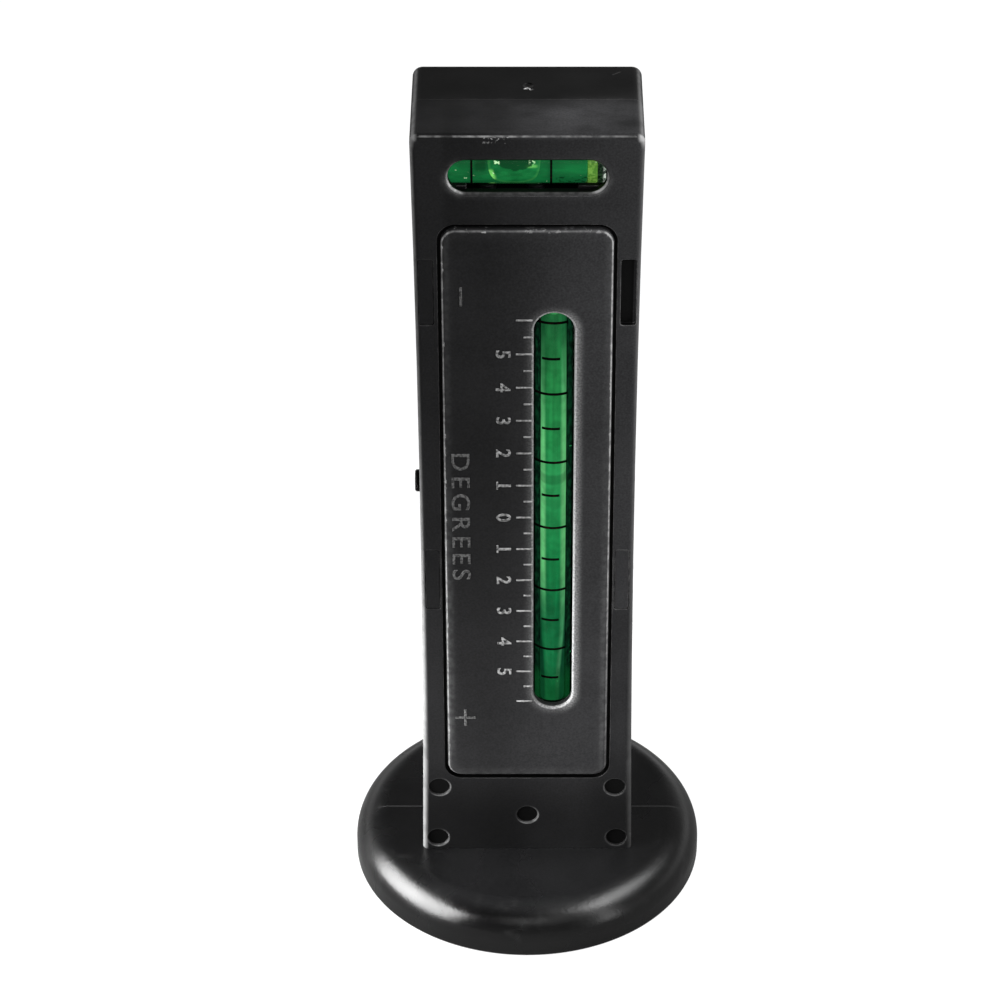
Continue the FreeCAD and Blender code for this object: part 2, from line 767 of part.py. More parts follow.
# ---- faceplates ----
def camber_faceplate():
    """Raised plate with the camber slot, its raised graduation and four pegs behind."""
    wire = rounded_rectangle(0, plate_z, plate_width, plate_height, plate_corner)
    plate = through_front(wire, plate_face_y, plate_back_y)
    plate = plate.makeFillet(plate_edge_round, edges_at(plate, lambda b: b.YMax < plate_face_y + small))
    slot = stadium(slot_x, slot_z, slot_length, slot_width, True)
    plate = plate.cut(through_front(slot, plate_face_y - over, plate_back_y + over))
    slot_rim = edges_at(
        plate,
        lambda b: b.YMax < plate_face_y + small
        and b.XMin > slot_x - slot_width / 2 - small
        and b.XMax < slot_x + slot_width / 2 + small,
    )
    plate = plate.makeFillet(slot_bevel, slot_rim)
    ridges = []
    tick_end = slot_x - slot_width / 2 - slot_bevel
    count = 4 * degrees_each_way + 1
    for index in range(count):
        z = zero_z + (index - 2 * degrees_each_way) * degree_pitch / 2
        length = tick_long if index % 2 == 0 else tick_short
        ridges.append(box(
            tick_end - length, tick_end, plate_face_y - tick_proud, plate_face_y + plate_thickness / 2,
            z - tick_width / 2, z + tick_width / 2,
        ))
    pegs = [rod(peg_radius, x, plate_back_y - plate_thickness / 2, z, BACK, plate_thickness / 2 + plate_floor)
            for x, z in peg_places()]
    return joined([plate] + ridges + pegs)


def caster_faceplate():
    """Flush plate on the right side that follows the bowed side, with the caster slot and graduation."""
    skin = column_block(0).cut(column_block(side_plate_thickness, -far, far))
    plate = side_plate_prism().common(skin)
    slot = through_side(stadium(0, caster_z, side_slot_length, side_slot_width, True), 0, half_width + over)
    plate = plate.cut(slot)
    proud = column_block(-tick_proud).cut(column_block(side_plate_thickness / 2, -far, far))
    ridges = []
    for index in range(side_ticks):
        z = caster_z + ((side_ticks - 1) / 2 - index) * side_tick_pitch
        length = side_tick_long if index % 2 == 0 else side_tick_short
        edge_y = -side_slot_width / 2 - side_slot_margin
        bar = box(0, half_width + over, edge_y - length, edge_y, z - tick_width / 2, z + tick_width / 2)
        ridges.append(bar.common(proud))
    return joined([plate] + ridges)


# ---- camber vial ----
def camber_vial_clips():
    """A clip at each end of the camber vial, its ears flat against the faceplate's floor."""
    clips = []
    for side in (-1, 1):
        y, z = camber_vial.place(side * (vial_length - clip_length) / 2)
        low = z - clip_length / 2
        high = z + clip_length / 2
        reach = vial_radius + clip_wall
        body = box(slot_x - reach, slot_x + reach, floor_back_y, y + reach, low, high)
        ears = box(
            slot_x - reach - clip_ear, slot_x + reach + clip_ear,
            floor_back_y, floor_back_y + clip_ear_thickness, low, high,
        )
        clip = joined([body, ears])
        clip = clip.cut(camber_vial.sweep(camber_vial.ring(vial_radius + touch), -vial_length, vial_length))
        clips.append(clip)
    whole = Part.makeCompound(clips)
    for x, z in clip_screw_places():
        whole = whole.cut(rod(clip_screw_radius + fit, x, floor_back_y, z, BACK, clip_ear_thickness))
    return whole


def camber_clip_screws():
    screws = []
    start = plate_back_y + fit
    for x, z in clip_screw_places():
        seat = floor_back_y + clip_ear_thickness
        shank = rod(clip_screw_radius, x, start, z, BACK, seat - start)
        head = rod(clip_screw_head, x, seat, z, BACK, clip_head_height)
        screws.append(joined([shank, head]))
    return Part.makeCompound(screws)


def camber_vial_marks():
    long_line = (slot_width / 2, mark_long_right)
    short_line = (mark_short_left, mark_short_right)
    return camber_vial.marks(mark_count, mark_pitch, [long_line, short_line], True)


# ---- cross level ----
def cross_end(side):
    """Where the liquid ends on that side of the level."""
    return cross_middle + side * cross_bore_length / 2


def cross_section(radius, lift=0.0):
    return Part.Wire(Part.makeCircle(radius, FreeCAD.Vector(0, cross_y, cross_z + lift), RIGHT))


def cross_rod(radius, x0, x1):
    return rod(radius, x0, cross_y, cross_z, RIGHT, x1 - x0)


def cross_tube_end():
    return cross_end(1) + cross_plug_length + cross_seal_length + fit


def cross_vial_tube():
    start = cross_end(-1) - cross_end_wall
    tube = cross_rod(cross_radius, start, cross_tube_end())
    return tube.cut(cross_rod(cross_bore_radius, cross_end(-1), cross_tube_end()))


def cross_bubble_lift():
    return cross_bore_radius - cross_bubble_radius - fit


def cross_vial_liquid():
    section = Part.Face(cross_section(cross_bore_radius - touch))
    groove = Part.Face(cross_section(cross_bubble_radius + groove_gap, cross_bubble_lift()))
    section = section.cut(groove).Faces[0]
    section.translate(RIGHT * cross_end(-1))
    return section.extrude(RIGHT * cross_bore_length)


def cross_bubble():
    """The bubble at the level's highest line, with rounded ends."""
    start = cross_middle - cross_bubble_length / 2
    body = rod(cross_bubble_radius, start, cross_y, cross_z + cross_bubble_lift(), RIGHT, cross_bubble_length)
    ends = edges_at(body, lambda b: b.XLength < small)
    return body.makeFillet(cross_bubble_radius * bubble_end_share, ends)


def cross_vial_plug():
    return cross_rod(cross_bore_radius - touch, cross_end(1), cross_end(1) + cross_plug_length)


def cross_vial_seal():
    """Clear resin that closes the tube behind its plug."""
    start = cross_end(1) + cross_plug_length
    seal = cross_rod(cross_bore_radius - touch, start, start + cross_seal_length)
    rim = edges_at(seal, lambda b: b.XLength < small and b.XMin > start + cross_seal_length / 2)
    return seal.makeFillet(cross_seal_length / 2, rim)


def cross_vial_rings():
    rings = []
    for side in (-1, 1):
        start = cross_middle + side * cross_ring_gap / 2 - cross_ring_width / 2
        ring = cross_rod(cross_radius + ink, start, start + cross_ring_width)
        rings.append(ring.cut(cross_rod(cross_radius + touch, start, start + cross_ring_width)))
    return Part.makeCompound(rings)


def bracket_screw_places():
    return [cross_middle + side * bracket_screw_spread / 2 for side in (-1, 1)]


def cross_vial_bracket():
    """Bar on the shelf with a saddle near each end of the level; the middle is open."""
    open_left = cross_end(-1) - cross_end_wall + saddle_left
    open_right = open_left + saddle_open
    left = open_left - saddle_left
    right = open_right + saddle_right
    front = inner_front_y
    back = cross_y + cross_radius
    low = shelf_top()
    bar = box(left, right, front, back, low, low + bar_thickness)
    saddles = [
        box(left, open_left, front, back, low, cross_z - saddle_drop),
        box(open_right, right, front, back, low, cross_z - saddle_drop),
    ]
    bracket = joined([bar] + saddles)
    bracket = bracket.cut(cross_rod(cross_radius + touch, left - over, right + over))
    for side in (-1, 1):
        start = cross_middle + side * cross_ring_gap / 2 - cross_ring_width
        bracket = bracket.cut(cross_rod(cross_radius + ink + touch, start, start + 2 * cross_ring_width))
    for x in bracket_screw_places():
        bracket = bracket.cut(rod(clip_screw_radius + fit, x, cross_y, low, UP, bar_thickness))
    return bracket


def cross_bracket_screws():
    screws = []
    seat = shelf_top() + bar_thickness
    for x in bracket_screw_places():
        low = shelf_top() - shelf_thickness
        shank = rod(clip_screw_radius, x, cross_y, low, UP, seat - low)
        head = rod(clip_screw_head, x, cross_y, seat, UP, clip_head_height)
        screws.append(joined([shank, head]))
    return Part.makeCompound(screws)


# ---- caster vial with its carrier, shaft and knob ----
def hub_start():
    return carrier_x - hub_length


def caster_carrier():
    """Flat bar that turns with the shaft and holds the caster vial in two open clips."""
    bar = rounded_rectangle(
        split_y, caster_z, carrier_width, 2 * carrier_half_length, carrier_corner
    )
    bar = through_side(bar, carrier_x, carrier_x + carrier_thickness)
    hub = rod(hub_radius, hub_start(), split_y, caster_z, RIGHT, hub_length + carrier_thickness / 2)
    pieces = [bar, hub]
    for side in (-1, 1):
        y, z = caster_vial.place(side * (caster_length - carrier_clip_length) / 2)
        reach = caster_radius + carrier_clip_wall
        half = carrier_clip_length / 2
        pieces.append(box(
            carrier_x, caster_x + carrier_clip_wrap, y - reach, y + reach, z - half, z + half,
        ))
    carrier = joined(pieces)
    clear = caster_vial.ring(caster_radius + touch)
    carrier = carrier.cut(caster_vial.sweep(clear, -caster_length, caster_length))
    return carrier.cut(rod(shaft_radius + touch, hub_start(), split_y, caster_z, RIGHT, far))


def knob_start():
    return -narrow_half - fit


def zero_shaft():
    """Runs from the knob through the left side and the ribs to the carrier."""
    end = carrier_x + carrier_thickness
    shaft = rod(shaft_radius, knob_start(), split_y, caster_z, RIGHT, end - knob_start())
    spigot = rod(spigot_radius, knob_start() - spigot_length, split_y, caster_z, RIGHT, spigot_length + over)
    return joined([shaft, spigot])


def zero_knob():
    """Round knob with a driver slot."""
    outer = knob_start() - knob_length
    knob = rod(knob_radius, outer, split_y, caster_z, RIGHT, knob_length)
    rim = edges_at(knob, lambda b: b.XMax < outer + small)
    knob = knob.makeChamfer(knob_chamfer, rim)
    slot = box(
        outer - over, outer + knob_slot_depth, split_y - knob_radius, split_y + knob_radius,
        caster_z - knob_slot_width / 2, caster_z + knob_slot_width / 2,
    )
    hole_start = knob_start() - spigot_length
    knob = knob.cut(slot)
    return knob.cut(rod(spigot_radius + touch, hole_start, split_y, caster_z, RIGHT, spigot_length))


def thrust_washers():
    """One washer against the ribs and one against the carrier's hub."""
    starts = [rib_x + rib_thickness + fit, hub_start() - thrust_thickness]
    washers = []
    for start in starts:
        washer = rod(thrust_radius, start, split_y, caster_z, RIGHT, thrust_thickness)
        washers.append(washer.cut(rod(shaft_radius + fit, start, split_y, caster_z, RIGHT, thrust_thickness)))
    return Part.makeCompound(washers)


def friction_spring():
    """Coil spring around the shaft that keeps the carrier where it is set."""
    start = rib_x + rib_thickness + fit + thrust_thickness + spring_wire
    height = hub_start() - thrust_thickness - spring_wire - start
    helix = Part.makeHelix(height / spring_turns, height, spring_radius)
    section = Part.Wire(Part.makeCircle(spring_wire, FreeCAD.Vector(spring_radius, 0, 0), BACK))
    coil = Part.Wire(helix).makePipeShell([section], True, True)
    coil.rotate(FreeCAD.Vector(0, 0, 0), BACK, 90)
    coil.translate(FreeCAD.Vector(start, split_y, caster_z))
    return coil


def caster_vial_marks():
    long_line = (caster_mark_long, caster_mark_long)
    short_line = (caster_mark_short, caster_mark_short)
    return caster_vial.marks(caster_marks, caster_mark_pitch, [long_line, short_line], False)


parts = {
    "base_cover": base_cover(),
    "steel_cup": steel_cup(),
    "ring_magnet": ring_magnet(),
    "lock_washer": lock_washer(),
    "centre_bolt": centre_bolt(),
    "foot_block": foot_block(),
    "foot_insert": foot_insert(),
    "locating_pins": locating_pins(),
    "front_shell": front_shell(),
    "rear_shell": rear_shell(),
    "shell_screws": shell_screws(),
    "pocket_plugs": pocket_plugs(),
    "camber_faceplate": camber_faceplate(),
    "caster_faceplate": caster_faceplate(),
    "camber_vial_tube": camber_vial.tube(),
    "camber_vial_liquid": camber_vial.liquid(bubble_radius),
    "camber_vial_plugs": camber_vial.plugs(),
    "camber_vial_marks": camber_vial_marks(),
    "camber_vial_clips": camber_vial_clips(),
    "camber_clip_screws": camber_clip_screws(),
    "camber_bubble": camber_vial.bubble_body(bubble_radius, bubble_length),
    "cross_vial_tube": cross_vial_tube(),
    "cross_vial_liquid": cross_vial_liquid(),
    "cross_vial_plug": cross_vial_plug(),
    "cross_vial_seal": cross_vial_seal(),
    "cross_vial_rings": cross_vial_rings(),
    "cross_vial_bracket": cross_vial_bracket(),
    "cross_bracket_screws": cross_bracket_screws(),
    "cross_bubble": cross_bubble(),
    "caster_carrier": caster_carrier(),
    "caster_vial_tube": caster_vial.tube(),
    "caster_vial_liquid": caster_vial.liquid(caster_bubble_radius),
    "caster_vial_plugs": caster_vial.plugs(),
    "caster_vial_marks": caster_vial_marks(),
    "caster_bubble": caster_vial.bubble_body(caster_bubble_radius, caster_bubble_length),
    "zero_shaft": zero_shaft(),
    "zero_knob": zero_knob(),
    "thrust_washers": thrust_washers(),
    "friction_spring": friction_spring(),
}

os.makedirs("parts", exist_ok=True)
for name, shape in parts.items():
    shape.exportStep("parts/" + name + ".step")
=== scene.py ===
import math

import bmesh
import bpy
from mathutils import Matrix, Vector


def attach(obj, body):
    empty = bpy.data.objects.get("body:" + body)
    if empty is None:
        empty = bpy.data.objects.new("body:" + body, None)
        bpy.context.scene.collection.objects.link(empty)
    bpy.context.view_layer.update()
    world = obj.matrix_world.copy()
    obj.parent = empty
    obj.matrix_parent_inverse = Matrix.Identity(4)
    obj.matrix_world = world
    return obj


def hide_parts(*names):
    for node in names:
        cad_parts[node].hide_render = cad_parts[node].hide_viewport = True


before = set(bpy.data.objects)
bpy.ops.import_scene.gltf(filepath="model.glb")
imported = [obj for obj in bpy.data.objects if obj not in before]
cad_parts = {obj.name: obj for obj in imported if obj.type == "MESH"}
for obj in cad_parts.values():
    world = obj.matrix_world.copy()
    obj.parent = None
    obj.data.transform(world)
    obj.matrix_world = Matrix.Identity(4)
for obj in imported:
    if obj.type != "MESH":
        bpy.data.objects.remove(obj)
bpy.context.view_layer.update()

# Camber caster gauge: the finish of a black plastic column with green vials on a round magnetic base.
# Shapes are drawn in millimetres in the frame of the part and are scaled to metres when they are finished.
mm = 0.001

# ---- column ----
front_y = -15.5
column_top = 198.0
column_half = 24.0
side_bow = 0.8            # the sides draw in by this much at half height
corner_round = 2.1
dimple_radius = 2.55
dimples = [(0.0, 21.6), (20.5, 14.9), (20.0, 29.7)]  # the outer two are on both sides
waist_z = 104.75
waist_reach = 93.25       # from the waist to the column's ends
gate_pit_at = (0.2, 6.2)  # where the plastic was let in, on the top face
gate_chip_at = (0.3, 4.6)
scratch_at = (18.6, 11.5)
scuff_x = -6.2            # a scuffed patch at the top's front edge

# ---- base ----
base_radius = 40.0
base_height = 11.5
base_shoulder = 7.5
base_toe = 1.0
cup_hole_radius = 34.15
cup_hole_top = 8.5
bolt_hole_radius = 3.1

# ---- camber faceplate ----
plate_face_y = -16.1
plate_back_y = -14.1
plate_z = 104.8
plate_width = 35.9
plate_height = 142.7
plate_corner = 3.2
plate_edge_round = 0.95
slot_x = 5.65
slot_z = 104.6
slot_width = 8.6
slot_length = 103.4
slot_half_run = 47.4      # from the slot's centre to the centre of its round ends
slot_bevel = 0.45

# ---- camber scale ----
zero_z = 104.7
half_degree = 4.16
marked_degrees = 6
tick_right = 1.15
tick_long_left = -2.4
tick_short_left = -0.8
tick_width = 0.42
tick_proud = 0.16
tick_root = 0.5
digit_low_x = -6.65       # feet of the digits, which lie on their side
digit_height = 3.15
digit_foot_width = 0.4
digit_foot_half = 1.0
digit_foot_rounding = 0.1
line_rounding = 0.12
sign_x = -13.85
sign_reach = 2.3
sign_width = 0.6
minus_z = 160.4
plus_z = 50.1
word_low_x = -16.3
word_height = 4.0
word_length = 33.0

# ---- caster scale, on the right side ----
side_degree = 3.94
side_zero_z = 119.16
side_figure_low = -10.8
side_figure_height = 2.4
side_figure_rows = 9
side_proud = 0.15
side_slot_radius = 4.7
side_slot_run = 34.3

# ---- camber vial ----
camber_vial = {"x": 5.65, "y": -8.8, "z": 104.7, "bend": 475.45, "half": 59.5}
camber_drop_at = 50.8     # its bubble's middle along the vial, at the top end
camber_drop_half_width = 2.1
camber_drop_half_length = 4.0
camber_drop_depth = 6.0   # from front to back, where the reach trims it
camber_drop_reach = 2.85
rod_sides = 40            # of the drawn liquid
core_radius = 2.75        # the lit liquid at the vial's middle
core_thinning = 0.1       # it looks this much thinner at the ends
core_low = -57.5
core_high = 55.0
shaft_shade_z = 111.3     # height of the zero shaft's painted shade on the liquid in front of it

# ---- cross level ----
level_y = -8.7
level_z = 188.2
level_bore_left = -18.9
level_bore_right = 12.4
level_plug_right = 14.4
level_seal_right = 16.0
level_joint = 0.06        # between one content and the next
level_bubble_x = -2.7
level_bubble_z = 190.6
level_bubble_reach = 5.6
level_bubble_depth = 5.65
level_bubble_across = 9.0  # from front to back, where the bore trims it
level_liquid_radius = 4.2  # as large as it looks through the wall
level_bubble_radius = 4.38
level_slot_x = 0.05
level_slot_z = 188.3
level_slot_run = 12.6
level_slot_radius = 3.75
level_left_ring = -9.6
drop_power = 0.75         # squares a bubble's round outline by this much
drop_outline = 2.67       # the same outline, as a distance

# ---- caster vial ----
caster_vial = {"x": 16.6, "y": -1.6, "z": 103.4, "bend": 330.0}
caster_core_radius = 2.0
caster_drop_at = 35.9
caster_drop_half_width = 1.5
caster_drop_half_length = 3.8
caster_drop_depth = 5.0
caster_drop_reach = 2.1


# ---- shader building blocks ----
def feed(tree, socket, value):
    if isinstance(value, bpy.types.NodeSocket):
        tree.links.new(value, socket)
    else:
        socket.default_value = value


def added(tree, kind, **inputs):
    """A new node with values or links on its inputs."""
    node = tree.nodes.new("ShaderNode" + kind)
    for name, value in inputs.items():
        feed(tree, node.inputs[name], value)
    return node


def worked_out(tree, operation, first, second):
    node = added(tree, "Math")
    node.operation = operation
    feed(tree, node.inputs[0], first)
    feed(tree, node.inputs[1], second)
    return node.outputs[0]


def eased(tree, value, start, end, low, high, smooth=True):
    """Runs from low at start to high at end and stays there."""
    levels = {"From Min": start, "From Max": end, "To Min": low, "To Max": high}
    node = added(tree, "MapRange", Value=value, **levels)
    node.interpolation_type = "SMOOTHSTEP" if smooth else "LINEAR"
    return node.outputs["Result"]


class Shader:
    """A material's node tree, with short calls for the nodes used here."""

    def __init__(self, name):
        self.material = bpy.data.materials.new(name)
        self.material.use_nodes = True
        self.tree = self.material.node_tree
        self.surface = self.tree.nodes["Principled BSDF"]
        self.out = self.tree.nodes["Material Output"]
        self.place = self.added("TexCoord").outputs["Object"]
        self.x, self.y, self.z = self.added("SeparateXYZ", Vector=self.place).outputs

    def feed(self, socket, value):
        feed(self.tree, socket, value)

    def added(self, kind, **inputs):
        return added(self.tree, kind, **inputs)

    def mixed(self, share, first, second):
        """Two shaders mixed by a share of the second."""
        node = self.added("MixShader")
        for socket, value in zip(node.inputs, (share, first, second)):
            self.feed(socket, value)
        return node.outputs[0]

    def maths(self, operation, a, b=0.0):
        return worked_out(self.tree, operation, a, b)

    def add(self, a, b):
        return self.maths("ADD", a, b)

    def less(self, a, b):
        return self.maths("SUBTRACT", a, b)

    def times(self, first, *others):
        for other in others:
            first = self.maths("MULTIPLY", first, other)
        return first

    def power(self, a, b):
        return self.maths("POWER", a, b)

    def most(self, a, b):
        return self.maths("MAXIMUM", a, b)

    def size(self, a):
        return self.maths("ABSOLUTE", a)

    def reach(self, a, b):
        """Distance from the middle, from two upright distances."""
        return self.maths("SQRT", self.add(self.times(a, a), self.times(b, b)))

    def off(self, a, place):
        """Distance from a place in millimetres, to either side."""
        return self.size(self.less(a, place * mm))

    def fade(self, value, start, end, low=0.0, high=1.0, smooth=True):
        """Runs from low at start to high at end and stays there."""
        return eased(self.tree, value, start, end, low, high, smooth)

    def fade_mm(self, value, start, end, low=0.0, high=1.0):
        return self.fade(value, start * mm, end * mm, low, high)

    def cover(self, colour, rough, gloss=0.5, normal=None, painted_glow=0.0, metallic=0.0):
        """Puts a finish on the surface and returns its material. painted_glow is a painted glow in the
        surface's own colour, which lifts what lies behind a clear wall."""
        values = {"Base Color": colour, "Roughness": rough, "Specular IOR Level": gloss, "Metallic": metallic}
        if painted_glow:
            values.update({"Emission Color": colour, "Emission Strength": painted_glow})
        if normal:
            values["Normal"] = normal
        for name, value in values.items():
            self.feed(self.surface.inputs[name], value)
        return self.material

    def about(self, value, centre, reach):
        """A coordinate from a centre, in units of a reach, both in millimetres."""
        return self.times(self.less(value, centre * mm), 1 / (reach * mm))

    def grain(self, per_mm, detail=2.0, stretch=None):
        """Noise around 0.5 with that many features per millimetre."""
        place = self.place
        if stretch:
            place = self.added("Mapping", Vector=place, Scale=stretch).outputs["Vector"]
        return self.added("TexNoise", Vector=place, Scale=per_mm / mm, Detail=detail).outputs["Fac"]

    def patches(self, per_mm, detail, start, end, low=0.0, high=1.0, stretch=None):
        """Noise made into patches that run from low to high."""
        return self.fade(self.grain(per_mm, detail, stretch), start, end, low, high)

    def blend(self, share, first, second, kind="MIX"):
        node = self.added("Mix")
        node.data_type = "RGBA"
        node.blend_type = kind
        self.feed(node.inputs["Factor"], share)
        self.feed(node.inputs["A"], first)
        self.feed(node.inputs["B"], second)
        return node.outputs["Result"]

    def scaled(self, colour, level):
        """A colour made darker or lighter by a number."""
        return self.blend(1.0, colour, level, "MULTIPLY")

    def toned(self, colour, share, level):
        """A colour made darker or lighter by a number where share is 1, and left where it is 0."""
        return self.scaled(colour, self.fade(share, 0, 1, 1.0, level))

    def run_of_colours(self, value, stops):
        """Colours along a length in millimetres."""
        low, high = stops[0][0], stops[-1][0]
        node = self.added("ValToRGB", Fac=self.fade(value, low * mm, high * mm, smooth=False))
        marks = node.color_ramp.elements
        while len(marks) < len(stops):
            marks.new(0.5)
        for mark, (at, colour) in zip(marks, stops):
            mark.position = (at - low) / (high - low)
            mark.color = colour
        return node.outputs["Color"]

    def relief(self, height, strength, distance, under=None):
        node = self.added("Bump", Strength=strength, Distance=distance * mm, Height=height)
        if under:
            self.feed(node.inputs["Normal"], under)
        return node.outputs["Normal"]

    def broken_edges(self, reach):
        """Softened normals at edges, and how near an edge is, from 0 to 1."""
        soft = self.added("Bevel", Radius=reach * mm)
        soft.samples = 6
        flat = self.added("NewGeometry")
        match = self.added("VectorMath")
        match.operation = "DOT_PRODUCT"
        self.feed(match.inputs[0], soft.outputs["Normal"])
        self.feed(match.inputs[1], flat.outputs["Normal"])
        return soft.outputs["Normal"], self.fade(match.outputs["Value"], 0.985, 0.87)

    def past_slot(self, along, across, half_run, radius):
        """Distance outside a slot's outline, from coordinates about its centre."""
        run = self.most(self.less(self.size(along), half_run * mm), 0.0)
        return self.less(self.reach(run, across), radius * mm)

    def past_corner(self, across, up, half_width, half_height, corner):
        """Distance outside a rounded outline, from coordinates about its centre."""
        out = self.most(self.less(self.size(across), (half_width - corner) * mm), 0.0)
        rise = self.most(self.less(self.size(up), (half_height - corner) * mm), 0.0)
        return self.less(self.reach(out, rise), corner * mm)

    def drop(self, across, rise):
        """Distance from a bubble's middle, with 1 at its outline."""
        return self.add(self.power(self.size(across), drop_outline), self.power(self.size(rise), drop_outline))


def grey(level, blue=0.0):
    return (level, level, level + blue, 1.0)


def green(*parts):
    return parts + (1.0,)


# ---- finishes of the black mouldings ----
# Patches on the edges painted paler, part rubbing and part painted highlight.
def rubbed_patches(s):
    return s.patches(0.6, 3.0, 0.35, 0.65, 0.25, 1.0)


def moulded_black(name, shade, rough, gloss, marks=None, dents=None):
    """Black moulded plastic: fine speckle, cloudy roughness, edges paler from rubbing and a painted highlight.
    marks adds a part's own.
    """
    s = Shader(name)
    speckle = s.grain(2.4, 3.0)
    cloud = s.grain(0.05, 3.0)
    tone = s.fade(s.add(s.times(speckle, 0.6), s.times(cloud, 0.4)), 0.25, 0.75, 0.5, 1.5, False)
    colour = s.scaled(grey(shade, shade * 0.05), tone)
    soft, edge = s.broken_edges(0.3)
    # Edges painted paler: part rubbing, part painted highlight.
    colour = s.blend(s.times(edge, rubbed_patches(s)), colour, grey(0.1))
    if marks:
        colour = marks(s, colour)
    if dents:
        soft = s.relief(*dents(s), soft)
    rough = s.fade(cloud, 0.25, 0.75, rough - 0.06, rough + 0.08)
    return s.cover(colour, rough, gloss, s.relief(s.grain(3.0, 4.0), 0.4, 0.04, soft))


def column_half_width(s):
    """Half the column's width at a point's height, because the sides draw in at the middle."""
    rise = s.about(s.z, waist_z, waist_reach)
    return s.add(s.times(rise, rise, side_bow * mm), (column_half - side_bow) * mm)


def on_top_face(s):
    """1 on the column's flat top and 0 below its rounded edge."""
    return s.fade_mm(s.z, column_top - 1.4, column_top - 0.4)


def top_tone(s, colour):
    """Darker towards the back of the top face, cloudy, and pale at its sides, in one run across both shells."""
    top = on_top_face(s)
    colour = s.toned(colour, s.times(s.fade_mm(s.y, -5, 5), top), 0.2)
    cloud = s.patches(0.13, 4.0, 0.3, 0.7, 0.55, 1.45, stretch=(0.6, 1.0, 1.0))
    colour = s.scaled(colour, s.blend(top, grey(1.0), cloud))
    inward = s.less(column_half_width(s), s.size(s.x))
    edge = s.power(s.fade(inward, 1.4 * mm, 0, smooth=False), 1.5)
    edge = s.times(edge, s.patches(0.5, 4.0, 0.3, 0.6, 0.6, 1.0), top)
    return s.blend(edge, colour, s.scaled(grey(1.0), s.fade_mm(s.x, -1, 1, 0.55, 0.27)))


def off_pit(s):
    """Distance from the pit where the plastic was let in."""
    return s.reach(s.less(s.x, gate_pit_at[0] * mm), s.less(s.y, gate_pit_at[1] * mm))


def gate_pit(s):
    return s.times(s.fade_mm(off_pit(s), 0.5, 1.2), on_top_face(s)), 1.0, 0.5


def base_dents(s):
    return s.grain(0.9, 6.0), 0.22, 0.14


def lean_tone(s, colour):
    """Painted light: paler towards the right side, as if lit from the right."""
    return s.scaled(colour, s.fade_mm(s.x, -16, 22, 0.64, 1.9))


def rear_marks(s, colour):
    """The top's tone with painted light from the right, a pit with a pale chip beside it where the plastic was
    let in, and a short scratch.
    """
    top = on_top_face(s)
    colour = s.blend(top, colour, lean_tone(s, grey(0.0085)))
    colour = top_tone(s, colour)
    colour = s.toned(colour, s.times(s.fade_mm(off_pit(s), 1.3, 0.7), top), 0.1)
    side, back = s.less(s.x, gate_chip_at[0] * mm), s.less(s.y, gate_chip_at[1] * mm)
    chip = s.fade_mm(s.reach(side, s.times(back, math.sqrt(3))), 1.2, 0.6)
    colour = s.blend(s.times(chip, s.patches(1.7, 4.0, 0.47, 0.55), top), colour, grey(0.6))
    side, back = s.less(s.x, scratch_at[0] * mm), s.less(s.y, scratch_at[1] * mm)
    line = s.fade_mm(s.size(s.add(side, s.times(back, -1.3))), 0.16, 0.05)
    return s.blend(s.times(line, s.fade_mm(s.size(side), 1.0, 0.7), top, 0.3), colour, grey(0.2))


def column_tones(s, colour):
    """Painted light and shade: paler to the right and down the left side, darker low on the right and at the
    foot.
    """
    colour = lean_tone(s, colour)
    colour = s.toned(colour, s.times(s.fade_mm(s.z, 130, 60), s.fade_mm(s.x, 0, -15)), 1.35)
    colour = s.toned(colour, s.times(s.fade_mm(s.z, 90, 120), s.fade_mm(s.x, -16, -18)), 1.3)
    colour = s.toned(colour, s.times(s.fade_mm(s.z, 110, 60), s.fade_mm(s.x, 8, 20)), 0.62)
    colour = s.scaled(colour, s.fade_mm(s.z, 48, 20, 1.0, 0.3))
    # Painted light on the top face: paler in its middle.
    top = on_top_face(s)
    middle = s.times(top, s.fade_mm(s.x, -19, -5), s.fade_mm(s.x, 22, 8, 0.5, 1.0))
    colour = s.scaled(colour, s.blend(top, grey(1.0), s.fade(middle, 0, 1, 0.5, 1.1)))
    return top_tone(s, colour)


def rubbed_lip(s, colour, half):
    """A pale, nicked line along the top's front edge and corners, part rubbing and part painted highlight,
    and scuffs left of its middle.
    """
    out = s.most(s.add(s.less(s.size(s.x), half), corner_round * mm), 0.0)
    up = s.most(s.less(s.z, (column_top - corner_round) * mm), 0.0)
    lip = s.add(s.less(corner_round * mm, s.reach(out, up)), s.less(s.y, front_y * mm))
    middle = s.fade_mm(s.off(s.x, -6), 12, 3, 0.4, 0.7)
    line = s.times(s.fade_mm(lip, 0.81, 0.765), s.fade_mm(s.z, 196.2, 197.0), middle)
    corner = s.times(s.fade_mm(out, 0.3, 1.2), s.fade_mm(up, 0.2, 0.9), s.fade_mm(lip, 1.35, 0.85))
    nicks = s.patches(0.4, 6.0, 0.36, 0.64, 0.2, 1.1)
    colour = s.blend(s.times(s.most(line, corner), nicks), colour, grey(0.28))
    scuffs = s.times(s.patches(1.9, 4.0, 0.58, 0.64, 0.0, 0.6), s.fade_mm(s.off(s.x, scuff_x), 3.4, 2.2))
    front = s.times(s.fade_mm(s.y, -15.1, -15.3), s.fade_mm(lip, 2.0, 1.5), s.fade_mm(s.z, 195.2, 195.8))
    return s.blend(s.times(scuffs, front), colour, grey(0.45))


